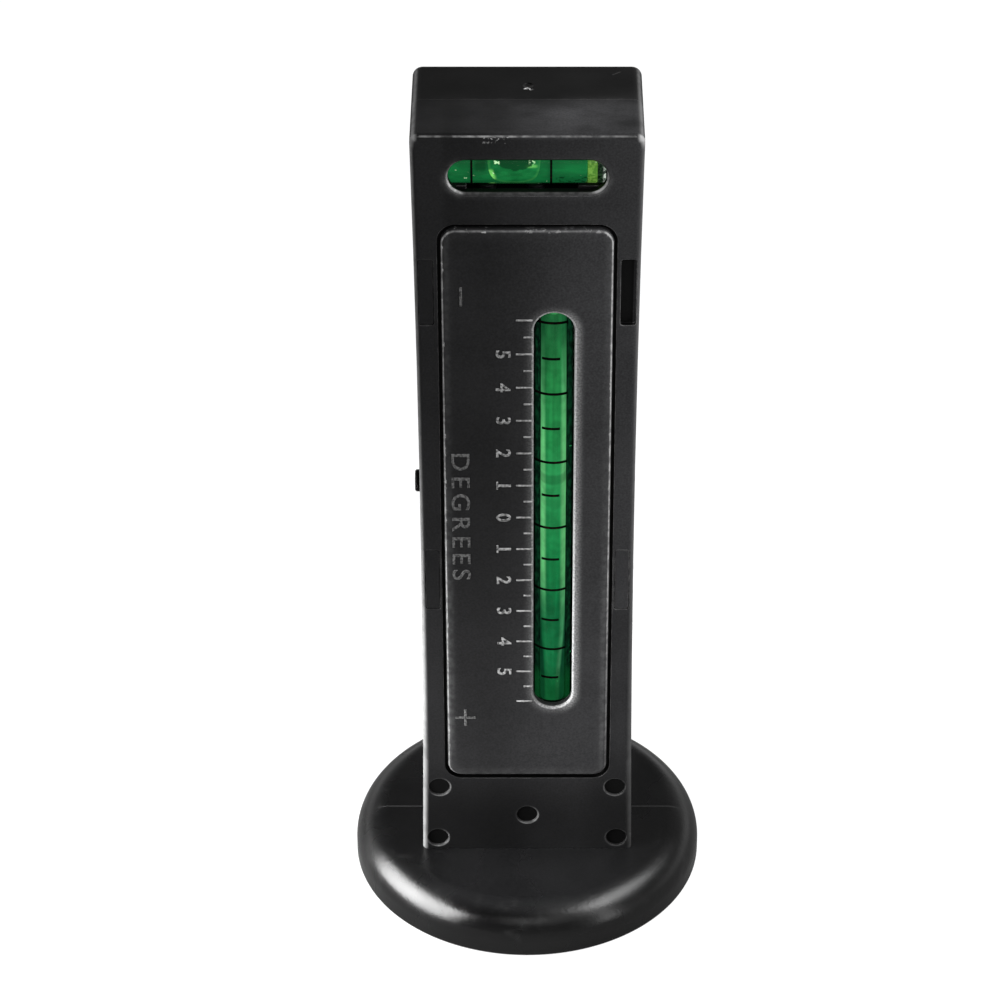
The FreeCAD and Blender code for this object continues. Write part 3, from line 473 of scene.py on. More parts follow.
def rubbed_sides(s, colour, half):
    """Painted highlights up the column's front corners, patchy, wider at the top and low down."""
    high = s.fade_mm(s.z, 193.5, 197)
    width = s.most(s.fade_mm(s.z, 100, 45, 0.85, 1.35), s.fade(high, 0, 1, 0.85, 1.25))
    inward = s.maths("DIVIDE", s.less(half, s.size(s.x)), s.times(width, mm))
    side = s.most(s.fade_mm(s.x, 1, -1, 0.25, 1.0), high)
    band_patches = s.patches(0.4, 4.0, 0.3, 0.6, 0.75, 1.0)
    band = s.times(s.fade(inward, 1, 0), side, s.fade_mm(s.y, -13.9, -14.4), band_patches)
    return s.blend(band, colour, s.scaled(grey(0.3), s.fade_mm(s.z, 60, 20, 1.0, 0.6)))


def level_window_rim(s):
    """How pale the rim of the cross level's window is, part rubbing and part painted highlight:
    most at its ends and along its foot.
    """
    right = s.less(s.x, level_slot_x * mm)
    away = s.past_slot(right, s.less(s.z, level_slot_z * mm), level_slot_run, level_slot_radius)
    rim = s.times(s.fade_mm(away, 0.5, 0.15), s.fade_mm(away, -0.1, 0.0))
    ends = s.fade_mm(s.size(right), 12, 15.5, 0.08, 1.0)
    lower = s.fade_mm(s.z, 190.5, 186.5, 0.3, 1.0)
    haze = s.times(s.power(s.fade_mm(away, 2.4, 0.3), 2.0), lower, s.fade(ends, 0.08, 1.0, 0.35, 1.0))
    return s.add(s.times(rim, ends, lower), s.times(haze, 0.1))


def dimple_rims(s, share):
    """Adds painted highlights on the dimples' rims, strongest on their lower right."""
    right = s.fade_mm(s.x, 5, 15)
    for x, z in dimples:
        side = s.less(s.size(s.x) if x else s.x, x * mm)
        rise = s.less(s.z, z * mm)
        ring = s.fade_mm(s.off(s.reach(side, rise), dimple_radius), 0.3, 0.0)
        # painted highlight, strongest on the rim's lower right
        rubbed = s.fade_mm(s.less(s.times(side, -1.0 if x else 1.0), rise), -2, 3.5, 0.02, 0.3)
        rubbed = s.times(rubbed, s.fade(s.times(right, s.fade_mm(s.z, 24, 20)), 0, 1, 1.0, 0.45))
        share = s.most(share, s.times(ring, rubbed, s.fade_mm(s.x, 5, 15, 1.0, 0.5)))
    return share


def column_marks(s, colour):
    """The column's painted light and shade, painted shade in the gap inside its recess, and its edges and the
    rims of its openings painted paler, part rubbing and part painted highlight.
    """
    half = column_half_width(s)
    colour = column_tones(s, colour)
    off_side = s.fade_mm(s.less(s.size(s.x), half), -1.2, -1.5)
    # Painted shade in the gap inside the plate's recess.
    gap = s.times(s.fade_mm(s.y, -15.42, -15.1), off_side, s.fade_mm(s.z, 196.6, 196.2))
    colour = s.toned(colour, gap, 0.08)
    colour = rubbed_sides(s, rubbed_lip(s, colour, half), half)
    share = s.times(dimple_rims(s, level_window_rim(s)), s.fade_mm(s.y, -14.6, -14.9))
    return s.blend(s.times(share, s.patches(0.9, 5.0, 0.38, 0.62, 0.55, 1.1)), colour, grey(0.4))


def plate_tones(s, colour):
    """Painted light: paler towards the right, low on the left and at the top."""
    colour = s.scaled(colour, s.fade_mm(s.x, -10, 16, 0.62, 1.65))
    colour = s.toned(colour, s.times(s.fade_mm(s.z, 120, 35), s.fade_mm(s.x, 16, -4, 0.15, 1.0)), 1.55)
    colour = s.scaled(colour, s.fade_mm(s.z, 115, 45, 1.0, 0.8))
    return s.scaled(colour, s.fade_mm(s.z, 115, 150, 1.0, 1.28))


def plate_edge(s, colour):
    """A thin pale line round the plate, part rubbing and part painted highlight, with a few chips in it,
    and a haze inside it.
    """
    past = s.past_corner(s.x, s.less(s.z, plate_z * mm), plate_width / 2, plate_height / 2, plate_corner)
    inset = s.times(past, -1.0)
    nicks = s.patches(0.7, 6.0, 0.35, 0.65, 0.4, 1.0)
    flank = s.most(s.fade_mm(s.size(s.x), 15.5, 16.8), s.fade_mm(s.z, 40, 36, 0.0, 0.7))
    haze = s.times(s.fade_mm(s.z, 120, 70, 0.055, 0.11), s.fade_mm(s.z, 38, 44, 0.5, 1.0))
    haze = s.times(s.fade_mm(inset, 3.2, 0.3), haze)
    line = s.times(s.fade_mm(s.off(inset, 0.28), 0.22, 0.06), s.fade_mm(s.z, 110, 40, 1.0, 0.35))
    colour = s.blend(s.times(s.add(line, haze), s.fade(flank, 0, 1, 0.3, 1.0), nicks), colour, grey(0.4))
    chips = s.times(s.patches(0.9, 5.0, 0.6, 0.66), s.fade_mm(s.off(inset, 0.3), 0.4, 0.15))
    chips = s.times(chips, s.fade_mm(s.x, 0, -14, 0.25, 0.6), s.fade_mm(s.z, 60, 100, 0.25, 1.0))
    return s.blend(chips, colour, grey(0.6))


def plate_marks(s, colour):
    """The plate's painted light and edge line, a painted highlight on its slot's rim and a rubbed haze round
    the slot, strongest on the right.
    """
    colour = plate_edge(s, plate_tones(s, colour))
    right = s.less(s.x, slot_x * mm)
    up = s.less(s.z, slot_z * mm)
    away = s.past_slot(up, right, slot_half_run, slot_width / 2)
    lean = s.most(s.fade_mm(right, -4.0, 4.5, 0.35, 1.0), s.fade_mm(s.size(up), 47, 51, 0.0, 0.7))
    # Painted highlight on the slot's bevelled rim.
    rim = s.times(s.fade_mm(away, slot_bevel * 1.3, slot_bevel * 0.5), s.fade_mm(s.z, 62, 90, 0.5, 1.0))
    haze = s.times(s.power(s.fade_mm(away, 3.0, 0.2), 2.2), s.fade_mm(right, 1.0, 5.0, 0.1, 0.42))
    share = s.times(s.add(s.times(rim, lean), haze), s.fade_mm(s.y, -15.3, -15.6))
    return s.blend(s.times(share, s.patches(2.6, 4.0, 0.38, 0.62, 0.5, 1.1)), colour, grey(0.6))


def side_marks(s, colour):
    """Pale raised lines and slot rim on the side plate."""
    patchy = rubbed_patches(s)
    out = s.less(s.x, column_half_width(s))
    lines = s.times(s.fade_mm(out, 0.02, 0.08), s.fade(patchy, 0.25, 1.0, 0.5, 1.0))
    away = s.past_slot(s.less(s.z, caster_vial["z"] * mm), s.y, side_slot_run, side_slot_radius)
    rim = s.times(s.fade_mm(away, 0.5, 0.1), s.fade_mm(out, -0.3, -0.1), s.fade_mm(s.y, -3, 4, 0.2, 0.5))
    return s.blend(s.times(s.most(lines, rim), patchy), colour, grey(0.36))


def base_marks(s, colour):
    """Painted light and shade: a flat top paler than the dark side. Also darker towards the left and right,
    a faint line across the top and short rubs on the shoulder.
    """
    ring = s.reach(s.x, s.y)
    # Painted shade on the side, below the flat top.
    colour = s.scaled(colour, s.fade_mm(s.z, 9.5, 11.3, 0.08, 1.0))
    colour = s.scaled(colour, s.times(s.fade_mm(s.x, 14, 32, 1.0, 0.25), s.fade_mm(s.x, -8, -32, 1.0, 0.25)))
    line = s.times(s.fade_mm(s.size(s.y), 0.3, 0.1), s.fade_mm(s.z, 10.5, 11.4))
    colour = s.blend(s.times(line, 0.3), colour, grey(0.07))
    rubs = s.times(s.patches(0.25, 6.0, 0.55, 0.75), s.fade_mm(ring, 30, 35), s.fade_mm(s.z, 3, 5))
    return s.blend(s.times(rubs, 0.3), colour, grey(0.02))


# each with its shade, roughness and gloss
shell_black = moulded_black("shell_black", 0.0155, 0.5, 0.15, column_marks)
rear_black = moulded_black("rear_black", 0.0058, 0.5, 0.15, rear_marks, dents=gate_pit)
# The plugs take the painted light from the right as well.
pocket_black = moulded_black("pocket_black", 0.0155, 0.5, 0.15, lean_tone)
plate_black = moulded_black("plate_black", 0.0175, 0.48, 0.16, plate_marks)
side_plate_black = moulded_black("side_plate_black", 0.01, 0.48, 0.17, side_marks)
base_black = moulded_black("base_black", 0.0076, 0.26, 0.48, base_marks, dents=base_dents)
inner_black = moulded_black("inner_black", 0.004, 0.6, 0.12)
knob_black = moulded_black("knob_black", 0.003, 0.4, 0.08)


def raised_grey(name, low, high):
    """Raised lines and figures, rubbed pale in patches."""
    s = Shader(name)
    patchy = s.patches(1.6, 4.0, 0.35, 0.62)
    return s.cover(s.blend(patchy, grey(low), grey(high)), 0.55, 0.2, s.relief(s.grain(4.0), 0.2, 0.03))


# ---- finishes of the vials ----
def clear_skin(s, inside, gloss_index, rough):
    """Puts a clear, slightly uneven shine over what is seen through it."""
    uneven = s.relief(s.grain(0.5), 0.15, 0.1)
    shine = s.added("BsdfGlossy", Roughness=rough, Normal=uneven)
    edge = s.added("Fresnel", IOR=gloss_index, Normal=uneven)
    s.feed(s.out.inputs["Surface"], s.mixed(edge.outputs[0], inside, shine.outputs[0]))
    s.tree.nodes.remove(s.surface)


def lit_share(s, colour, share, strength):
    """Clear plastic with that share of coloured matter in it, diffuse and with a painted glow."""
    clear = s.added("BsdfTransparent", Color=green(0.8, 0.97, 0.86))
    dull = s.added("BsdfDiffuse", Color=colour)
    painted_glow = s.added("Emission", Color=colour, Strength=strength)
    body = s.added("AddShader")
    s.feed(body.inputs[0], dull.outputs[0])
    s.feed(body.inputs[1], painted_glow.outputs[0])
    return s.mixed(share, clear.outputs[0], body.outputs[0])


def vial_across(s, vial, axis):
    """Distance to one side of a bent vial's centre line, as its window shows it."""
    if axis == "x":
        return s.less(s.x, vial["x"] * mm)
    behind = s.less(s.y, (vial["y"] + vial["bend"]) * mm)
    rise = s.less(s.z, vial["z"] * mm)
    return s.less(vial["bend"] * mm, s.reach(behind, rise))


def upright_wall(name, axis, vial, core, foot):
    """Wall of a bent vial: clear over the liquid, painted dark mottled green beside it where the dark inside
    shows through, with painted glints, painted shade at its outer sides and a paler foot as painted light, all
    with a painted glow.
    """
    s = Shader(name)
    across = s.size(vial_across(s, vial, axis))
    side = s.fade_mm(across, core * 0.85, core * 1.25)
    mottle = s.patches(1.3, 4.0, 0.38, 0.66, stretch=(1.0, 1.0, 0.5))
    colour = s.blend(mottle, green(0.0022, 0.009, 0.006), green(0.005, 0.055, 0.022))
    # Painted light: the wall paler at its foot.
    low = s.fade_mm(s.z, foot + 5, foot)
    colour = s.blend(s.times(low, 0.75), colour, green(0.005, 0.1, 0.024))
    # Painted shade at the wall's outer sides.
    colour = s.scaled(colour, s.fade_mm(across, 4.05, 3.75, 0.0, 1.0))
    painted_glints = s.patches(0.8, 5.0, 0.72, 0.76)
    colour = s.blend(painted_glints, colour, green(0.03, 0.35, 0.1))
    share = s.most(s.fade(side, 0, 1, 0.04, 0.88), s.times(low, 0.45))
    clear_skin(s, lit_share(s, colour, share, 0.5), 1.2, 0.12)
    return s.material


def level_wall_finish(name):
    """Wall of the cross level: clear, with painted glints, a painted highlight at its right end,
    near-black painted shade along its underside and a painted glow.
    """
    s = Shader(name)
    # Painted shade, near black, along the wall's underside.
    under = s.fade_mm(s.z, 184.5, 184.2)
    mottle = s.patches(1.1, 4.0, 0.35, 0.65)
    colour = s.blend(mottle, green(0.0004, 0.001, 0.0007), green(0.0008, 0.004, 0.002))
    # Painted highlight at the right end.
    end = s.fade_mm(s.x, 15.2, 15.9)
    colour = s.blend(end, colour, green(0.8, 0.9, 0.8))
    painted_glints = s.patches(1.1, 5.0, 0.7, 0.74)
    colour = s.blend(painted_glints, colour, green(0.5, 0.8, 0.45))
    share = s.most(s.fade(under, 0, 1, 0.04, 0.8), s.times(end, s.patches(1.5, 3.0, 0.4, 0.6)))
    share = s.most(share, s.times(painted_glints, 0.8))
    clear_skin(s, lit_share(s, colour, share, 0.5), 1.12, 0.1)
    return s.material


def upright_liquid(name, axis, vial, radius, middle, sides, foot):
    """Level liquid in a bent vial, with painted highlight streaks at its sides, the zero shaft's painted shade
    and a painted glow. middle and sides give its colours up the vial, brighter where it is painted as lit.
    """
    s = Shader(name)
    across = s.times(vial_across(s, vial, axis), 1 / (radius * mm))
    streaks = s.grain(0.55, stretch=(1.0, 1.0, 0.03))
    wide = s.grain(0.2, stretch=(1.0, 1.0, 0.05))
    off = s.add(s.size(across), s.times(s.less(wide, 0.5), 0.5))
    pinch = s.fade_mm(s.z, foot, foot + 18, 0.3, 0.64)
    side = s.fade(s.less(off, pinch), -0.12, 0.12)
    left = s.fade(across, 0.1, -0.1)
    side = s.times(side, s.less(1.0, s.times(left, s.fade_mm(s.z, foot + 34, foot + 14, 0.0, 0.9))))
    colour = s.blend(side, s.run_of_colours(s.z, middle), s.run_of_colours(s.z, sides))
    outside = s.times(s.fade(s.less(off, pinch), 0.2, 0.42), s.fade_mm(s.z, foot + 26, foot + 14))
    colour = s.blend(outside, colour, green(0.004, 0.045, 0.02))
    colour = s.scaled(colour, s.fade(streaks, 0.35, 0.65, 0.8, 1.2))
    colour = s.scaled(colour, s.patches(0.4, 3.0, 0.3, 0.7, 0.85, 1.15))
    # Painted shade of the zero shaft, on the liquid in front of it.
    shaft = s.times(s.fade_mm(s.off(s.z, shaft_shade_z), 1.6, 0.8), 0.35)
    return s.cover(s.scaled(colour, s.less(1.0, shaft)), 0.3, 0.1, painted_glow=0.95)


def level_liquid_finish(name):
    """Green liquid, cloudy along its length, darker beside the left ring and low on the right,
    with painted shade along its bottom and a painted glow.
    """
    s = Shader(name)
    streaks = s.patches(0.45, 4.0, 0.35, 0.65, stretch=(0.35, 1.0, 1.0))
    colour = s.blend(streaks, green(0.007, 0.094, 0.031), green(0.009, 0.138, 0.043))
    dim = s.times(s.fade_mm(s.off(s.x, level_left_ring), 1.9, 0.6), s.fade_mm(s.z, 187.5, 189.2))
    colour = s.toned(colour, dim, 0.55)
    spots = s.patches(1.1, 4.0, 0.52, 0.6)
    low = s.times(s.fade_mm(s.z, 187.6, 186.6), s.fade_mm(s.x, 5.5, 6.5), spots)
    colour = s.toned(colour, low, 0.4)
    # Painted shade along the bottom.
    colour = s.scaled(colour, s.fade_mm(s.z, 184.4, 184.8, 0.6, 1.0))
    return s.cover(colour, 0.25, 0.1, painted_glow=0.7)


def level_bubble_finish(name):
    """Gas bubble, its look through the wall painted on: a painted highlight on its lower left edge, a faint one
    along its lower edge, painted glints, a painted dark hollow under its top and a painted glow.
    """
    s = Shader(name)
    across = s.about(s.x, level_bubble_x, level_bubble_reach)
    reach = s.drop(across, s.about(s.z, level_bubble_z, level_bubble_depth))
    cloud = s.patches(0.5, 4.0, 0.35, 0.65, stretch=(0.5, 1.0, 1.0))
    colour = s.blend(cloud, green(0.006, 0.1, 0.03), green(0.012, 0.16, 0.048))
    patch = s.patches(0.9, 4.0, 0.3, 0.6, 0.5, 1.0)
    left = s.times(s.fade(reach, 0.45, 0.7), s.fade(across, -0.6, -0.78))
    left = s.times(left, s.fade_mm(s.z, 189.2, 188.3), s.fade_mm(s.z, 185.8, 186.8))
    glint = s.times(s.fade_mm(s.off(s.x, 0.9), 1.6, 0.6), s.fade_mm(s.off(s.z, 189.5), 0.5, 0.1))
    arc = s.times(s.fade(reach, 0.6, 0.8), 0.08)
    rim = s.times(s.most(s.most(left, arc), s.times(glint, 0.6)), patch)
    colour = s.blend(rim, colour, green(0.26, 0.66, 0.17))
    hollow_x, hollow_z = s.about(s.x, -2.4, 3.7), s.about(s.z, 190.3, 1.7)
    hollow = s.add(s.times(hollow_x, hollow_x), s.times(hollow_z, hollow_z))
    hollow = s.fade(s.add(hollow, s.times(s.less(s.grain(0.8, 4.0), 0.5), 1.2)), 1.05, 0.8)
    colour = s.blend(s.times(hollow, 0.9), colour, green(0.004, 0.045, 0.016))
    tips = s.times(s.fade_mm(s.off(s.off(s.x, -2.6), 3.6), 0.8, 0.3), s.fade_mm(s.z, 189.75, 190.0))
    tips = s.times(tips, s.patches(1.8, 4.0, 0.5, 0.58))
    colour = s.blend(tips, colour, green(0.75, 0.95, 0.6))
    return s.cover(colour, 0.25, 0.08, painted_glow=0.7)


def bent_gas_finish(name, axis, vial, at, half_width, half_length):
    """Gas in a bent vial: pale in its middle, with a painted dark rim, a painted highlight streak along one
    side and a painted glow.
    """
    s = Shader(name)
    across = s.times(vial_across(s, vial, axis), 1 / (half_width * mm))
    middle = vial["z"] + vial["bend"] * math.sin(at / vial["bend"])
    rise = s.about(s.z, middle, half_length)
    reach = s.drop(across, rise)
    cloud = s.patches(0.6, 3.0, 0.3, 0.7)
    colour = s.blend(cloud, green(0.05, 0.3, 0.1), green(0.1, 0.42, 0.15))
    colour = s.blend(s.fade(reach, 0.5, 0.95), colour, green(0.003, 0.05, 0.018))
    streak = s.times(s.fade(s.size(s.less(across, 0.35)), 0.16, 0.05), s.fade(s.size(rise), 0.72, 0.6))
    colour = s.blend(s.times(streak, 0.8), colour, green(0.55, 0.9, 0.55))
    return s.cover(colour, 0.25, 0.1, painted_glow=0.7)


def resin(name, first, second, painted_glow):
    """Cast resin with bright grains and a painted glow."""
    s = Shader(name)
    colour = s.blend(s.patches(1.6, 4.0, 0.42, 0.62), first, second)
    return s.cover(colour, 0.15, 0.4, normal=s.relief(s.grain(0.9, 3.0), 0.5, 0.3), painted_glow=painted_glow)


def ink(name):
    """Black printed lines, thin enough to look brown in places."""
    s = Shader(name)
    thin = s.patches(1.2, 3.0, 0.55, 0.7)
    return s.cover(s.blend(thin, grey(0.002), (0.02, 0.006, 0.003, 1.0)), 0.7, 0.05)


# ---- finishes of metal and magnet ----
def metal(name, colour, rough):
    """Plated or ground steel with fine tool marks."""
    s = Shader(name)
    lines = s.grain(1.5, 3.0, (1.0, 1.0, 8.0))
    darker = tuple(part * 0.72 for part in colour[:3]) + (1.0,)
    rough = s.patches(0.3, 3.0, 0.3, 0.7, rough - 0.08, rough + 0.1)
    marks = s.relief(lines, 0.15, 0.02, s.broken_edges(0.15)[0])
    return s.cover(s.blend(s.fade(lines, 0.3, 0.7), colour, darker), rough, normal=marks, metallic=1.0)


def dark_stone(name):
    """Ground ferrite."""
    s = Shader(name)
    colour = s.blend(s.patches(2.5, 4.0, 0.3, 0.7), grey(0.035), grey(0.075))
    rough = s.patches(0.6, 3.0, 0.3, 0.7, 0.45, 0.7)
    return s.cover(colour, rough, normal=s.relief(s.grain(2.5, 4.0), 0.3, 0.05, s.broken_edges(0.2)[0]))


tick_grey = raised_grey("tick_grey", 0.14, 0.36)
figure_grey = raised_grey("figure_grey", 0.08, 0.36)
word_grey = raised_grey("word_grey", 0.03, 0.13)
camber_wall = upright_wall("camber_wall", "x", camber_vial, core_radius, foot=57.0)
caster_wall = upright_wall("caster_wall", "y", caster_vial, caster_core_radius, foot=66.0)
level_wall = level_wall_finish("level_wall")
camber_green = upright_liquid(
    "camber_green", "x", camber_vial, core_radius,
    [(50, green(0.01, 0.135, 0.045)), (58, green(0.006, 0.14, 0.05)), (76, green(0.004, 0.115, 0.04)),
     (92, green(0.01, 0.19, 0.06)), (112, green(0.025, 0.24, 0.08)), (120, green(0.016, 0.18, 0.055)),
     (136, green(0.016, 0.15, 0.045)), (150, green(0.014, 0.11, 0.038)), (157, green(0.014, 0.12, 0.03))],
    [(50, green(0.012, 0.11, 0.04)), (60, green(0.035, 0.15, 0.07)), (72, green(0.05, 0.22, 0.1)),
     (88, green(0.12, 0.4, 0.16)), (120, green(0.12, 0.4, 0.16)), (138, green(0.05, 0.23, 0.09)),
     (148, green(0.011, 0.09, 0.032))],
    foot=54.0,
)
caster_green = upright_liquid(
    "caster_green", "y", caster_vial, caster_core_radius,
    [(62, green(0.008, 0.12, 0.035)), (104, green(0.02, 0.25, 0.07)), (145, green(0.02, 0.14, 0.04))],
    [(62, green(0.01, 0.1, 0.03)), (104, green(0.1, 0.38, 0.14)), (145, green(0.02, 0.14, 0.04))],
    foot=62.0,
)
level_green = level_liquid_finish("level_green")
level_gas = level_bubble_finish("level_gas")
camber_gas = bent_gas_finish(
    "camber_gas", "x", camber_vial, camber_drop_at, camber_drop_half_width, camber_drop_half_length)
caster_gas = bent_gas_finish(
    "caster_gas", "y", caster_vial, caster_drop_at, caster_drop_half_width, caster_drop_half_length)
line_ink = ink("line_ink")
zinc = metal("zinc", (0.62, 0.62, 0.6, 1.0), 0.3)
black_screw = metal("black_screw", (0.16, 0.16, 0.17, 1.0), 0.4)
spring_wire = metal("spring_wire", (0.5, 0.5, 0.5, 1.0), 0.3)
brass = metal("brass", (0.72, 0.52, 0.22, 1.0), 0.3)
ferrite = dark_stone("ferrite")
plug_green = resin("plug_green", green(0.09, 0.2, 0.03), green(0.19, 0.32, 0.06), 0.7)
bubble_clear = resin("bubble_clear", green(0.02, 0.25, 0.06), green(0.15, 0.5, 0.15), 0.6)
seal_clear = resin("seal_clear", green(0.003, 0.01, 0.005), green(0.03, 0.06, 0.03), 0.5)

node_finish = {
    "base_cover": base_black, "steel_cup": zinc, "ring_magnet": ferrite, "lock_washer": zinc,
    "centre_bolt": zinc, "foot_block": inner_black, "foot_insert": brass, "locating_pins": zinc,
    "front_shell": shell_black, "rear_shell": rear_black, "shell_screws": black_screw,
    "pocket_plugs": pocket_black, "camber_faceplate": plate_black, "caster_faceplate": side_plate_black,
    "camber_vial_tube": camber_wall, "camber_vial_liquid": camber_green, "camber_vial_plugs": plug_green,
    "camber_vial_marks": line_ink, "camber_vial_clips": inner_black, "camber_clip_screws": black_screw,
    "camber_bubble": bubble_clear, "cross_vial_tube": level_wall, "cross_vial_liquid": level_green,
    "cross_vial_plug": plug_green, "cross_vial_seal": seal_clear, "cross_vial_rings": line_ink,
    "cross_vial_bracket": inner_black, "cross_bracket_screws": black_screw, "cross_bubble": bubble_clear,
    "caster_carrier": inner_black, "caster_vial_tube": caster_wall, "caster_vial_liquid": caster_green,
    "caster_vial_plugs": plug_green, "caster_vial_marks": line_ink, "caster_bubble": bubble_clear,
    "zero_shaft": zinc, "zero_knob": knob_black, "thrust_washers": zinc, "friction_spring": spring_wire,
}
for node_name, finish in node_finish.items():
    for material_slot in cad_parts[node_name].material_slots:
        material_slot.material = finish


# ---- shape building blocks ----
def placed(name, data):
    """A new object in the scene."""
    thing = bpy.data.objects.new(name, data)
    bpy.context.scene.collection.objects.link(thing)
    return thing


def finished(name, bm, finish, body="housing", stands_for=(), sharp=35.0):
    """Makes a drawn shape a piece of the gauge that rides on a body."""
    bmesh.ops.scale(bm, vec=(mm, mm, mm), verts=bm.verts)
    bmesh.ops.recalc_face_normals(bm, faces=bm.faces)
    for face in bm.faces:
        face.smooth = True
    for edge in bm.edges:
        edge.smooth = not (edge.is_manifold and edge.calc_face_angle() > math.radians(sharp))
    mesh = bpy.data.meshes.new(name)
    bm.to_mesh(mesh)
    bm.free()
    mesh.materials.append(finish)
    piece = placed(name, mesh)
    piece.modifiers.new("even_shading", "WEIGHTED_NORMAL").keep_sharp = True
    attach(piece, body)
    if stands_for:
        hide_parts(*stands_for)


def break_edges(bm, geom, width, segments, affect="EDGES"):
    """Rounds edges or corners."""
    bmesh.ops.bevel(bm, geom=geom, offset=width, offset_type="OFFSET", segments=segments, profile=0.5,
                    affect=affect, material=-1)


def sharp_edges(bm, test, least=38.0):
    chosen = []
    for edge in bm.edges:
        if edge.is_manifold and edge.calc_face_angle() > math.radians(least):
            if all(test(vert.co) for vert in edge.verts):
                chosen.append(edge)
    return chosen


def rounded_face(bm, x, z, width, height, corner, y, segments):
    """Flat upright face with rounded corners around (x, z)."""
    reach = [(-1, -1), (1, -1), (1, 1), (-1, 1)]
    verts = [bm.verts.new((x + i * width / 2, y, z + j * height / 2)) for i, j in reach]
    bm.faces.new(verts)
    break_edges(bm, verts, corner, segments, "VERTICES")


# ---- base ----
def magnetic_base():
    """The base cover turned from its section, with its shoulder and toe rounded."""
    bm = bmesh.new()
    section = [
        (bolt_hole_radius, cup_hole_top, 0.0), (bolt_hole_radius, base_height, 0.0),
        (base_radius, base_height, base_shoulder), (base_radius, 0.0, base_toe),
        (cup_hole_radius, 0.0, 0.3), (cup_hole_radius, cup_hole_top, 0.0),
    ]
    verts = [bm.verts.new((x, 0.0, z)) for x, z, _ in section]
    bm.faces.new(verts)
    for vert, (_, _, rounding) in zip(verts, section):
        if rounding:
            break_edges(bm, [vert], rounding, 20 if rounding == base_shoulder else 6, "VERTICES")
    bmesh.ops.delete(bm, geom=bm.faces[:], context="FACES_ONLY")
    bmesh.ops.spin(bm, geom=bm.verts[:] + bm.edges[:], cent=(0, 0, 0), axis=(0, 0, 1), angle=math.tau,
                   steps=192, use_merge=True)
    bmesh.ops.remove_doubles(bm, verts=bm.verts, dist=0.001)
    finished("round_base", bm, base_black, stands_for=["base_cover"], sharp=50.0)


# ---- camber faceplate ----
def faceplate():
    """The raised plate with its slot, both with rounded rims."""
    bm = bmesh.new()
    rounded_face(bm, 0.0, plate_z, plate_width, plate_height, plate_corner, plate_face_y, 12)
    rounded_face(bm, slot_x, slot_z, slot_width, slot_length, slot_width / 2 - 0.001, plate_face_y, 24)
    bmesh.ops.remove_doubles(bm, verts=bm.verts, dist=0.01)
    bmesh.ops.delete(bm, geom=bm.faces[:], context="FACES_ONLY")
    bmesh.ops.bridge_loops(bm, edges=bm.edges[:])
    made = bmesh.ops.extrude_face_region(bm, geom=bm.faces[:])
    moved = [item for item in made["geom"] if isinstance(item, bmesh.types.BMVert)]
    bmesh.ops.translate(bm, vec=(0, plate_back_y - plate_face_y, 0), verts=moved)
    bmesh.ops.recalc_face_normals(bm, faces=bm.faces)
    bmesh.ops.dissolve_limit(bm, angle_limit=math.radians(0.5), verts=bm.verts, edges=bm.edges,
                             use_dissolve_boundaries=False)
    on_face = sharp_edges(bm, lambda p: abs(p.y - plate_face_y) < 0.01)
    in_slot = [e for e in on_face if all(abs(v.co.x - slot_x) < slot_width for v in e.verts)
               and all(abs(v.co.z - slot_z) < slot_length / 2 + 1 for v in e.verts)]
    around = [e for e in on_face if e not in in_slot]
    break_edges(bm, around, plate_edge_round, 6)
    in_slot = [e for e in in_slot if e.is_valid]
    break_edges(bm, in_slot, slot_bevel, 6)
    finished("camber_plate", bm, plate_black, stands_for=["camber_faceplate"])


def ridge(bm, x0, x1, z0, z1, rounding=line_rounding):
    """A small raised bar on the plate, with rounded upper edges."""
    low, high = plate_face_y + tick_root, plate_face_y - tick_proud
    verts = bmesh.ops.create_cube(bm, size=1.0)["verts"]
    bmesh.ops.scale(bm, vec=(x1 - x0, low - high, z1 - z0), verts=verts)
    bmesh.ops.translate(bm, vec=((x0 + x1) / 2, (low + high) / 2, (z0 + z1) / 2), verts=verts)
    tops = {v for v in verts if v.co.y < (low + high) / 2}
    edges = [e for e in bm.edges if e.verts[0] in tops or e.verts[1] in tops]
    break_edges(bm, edges, rounding, 3)


def scale_lines():
    """A long line at each degree and a short one at each half."""
    bm = bmesh.new()
    for index in range(-2 * marked_degrees, 2 * marked_degrees + 1):
        z = zero_z + index * half_degree
        left = tick_long_left if index % 2 == 0 else tick_short_left
        ridge(bm, left, tick_right, z - tick_width / 2, z + tick_width / 2)
    finished("scale_lines", bm, tick_grey)


def lettering(body, spacing=1.0, thicken=0.002):
    """Raised text lying flat, as a mesh in its own plane."""
    curve = bpy.data.curves.new("lettering", "FONT")
    curve.body = body
    curve.size = 1.0
    curve.space_character = spacing
    curve.offset = thicken
    curve.extrude = 0.05
    curve.bevel_depth = 0.012
    curve.bevel_resolution = 2
    holder = placed("lettering", curve)
    bpy.context.view_layer.update()
    mesh = bpy.data.meshes.new_from_object(holder)
    bpy.data.objects.remove(holder)
    return mesh


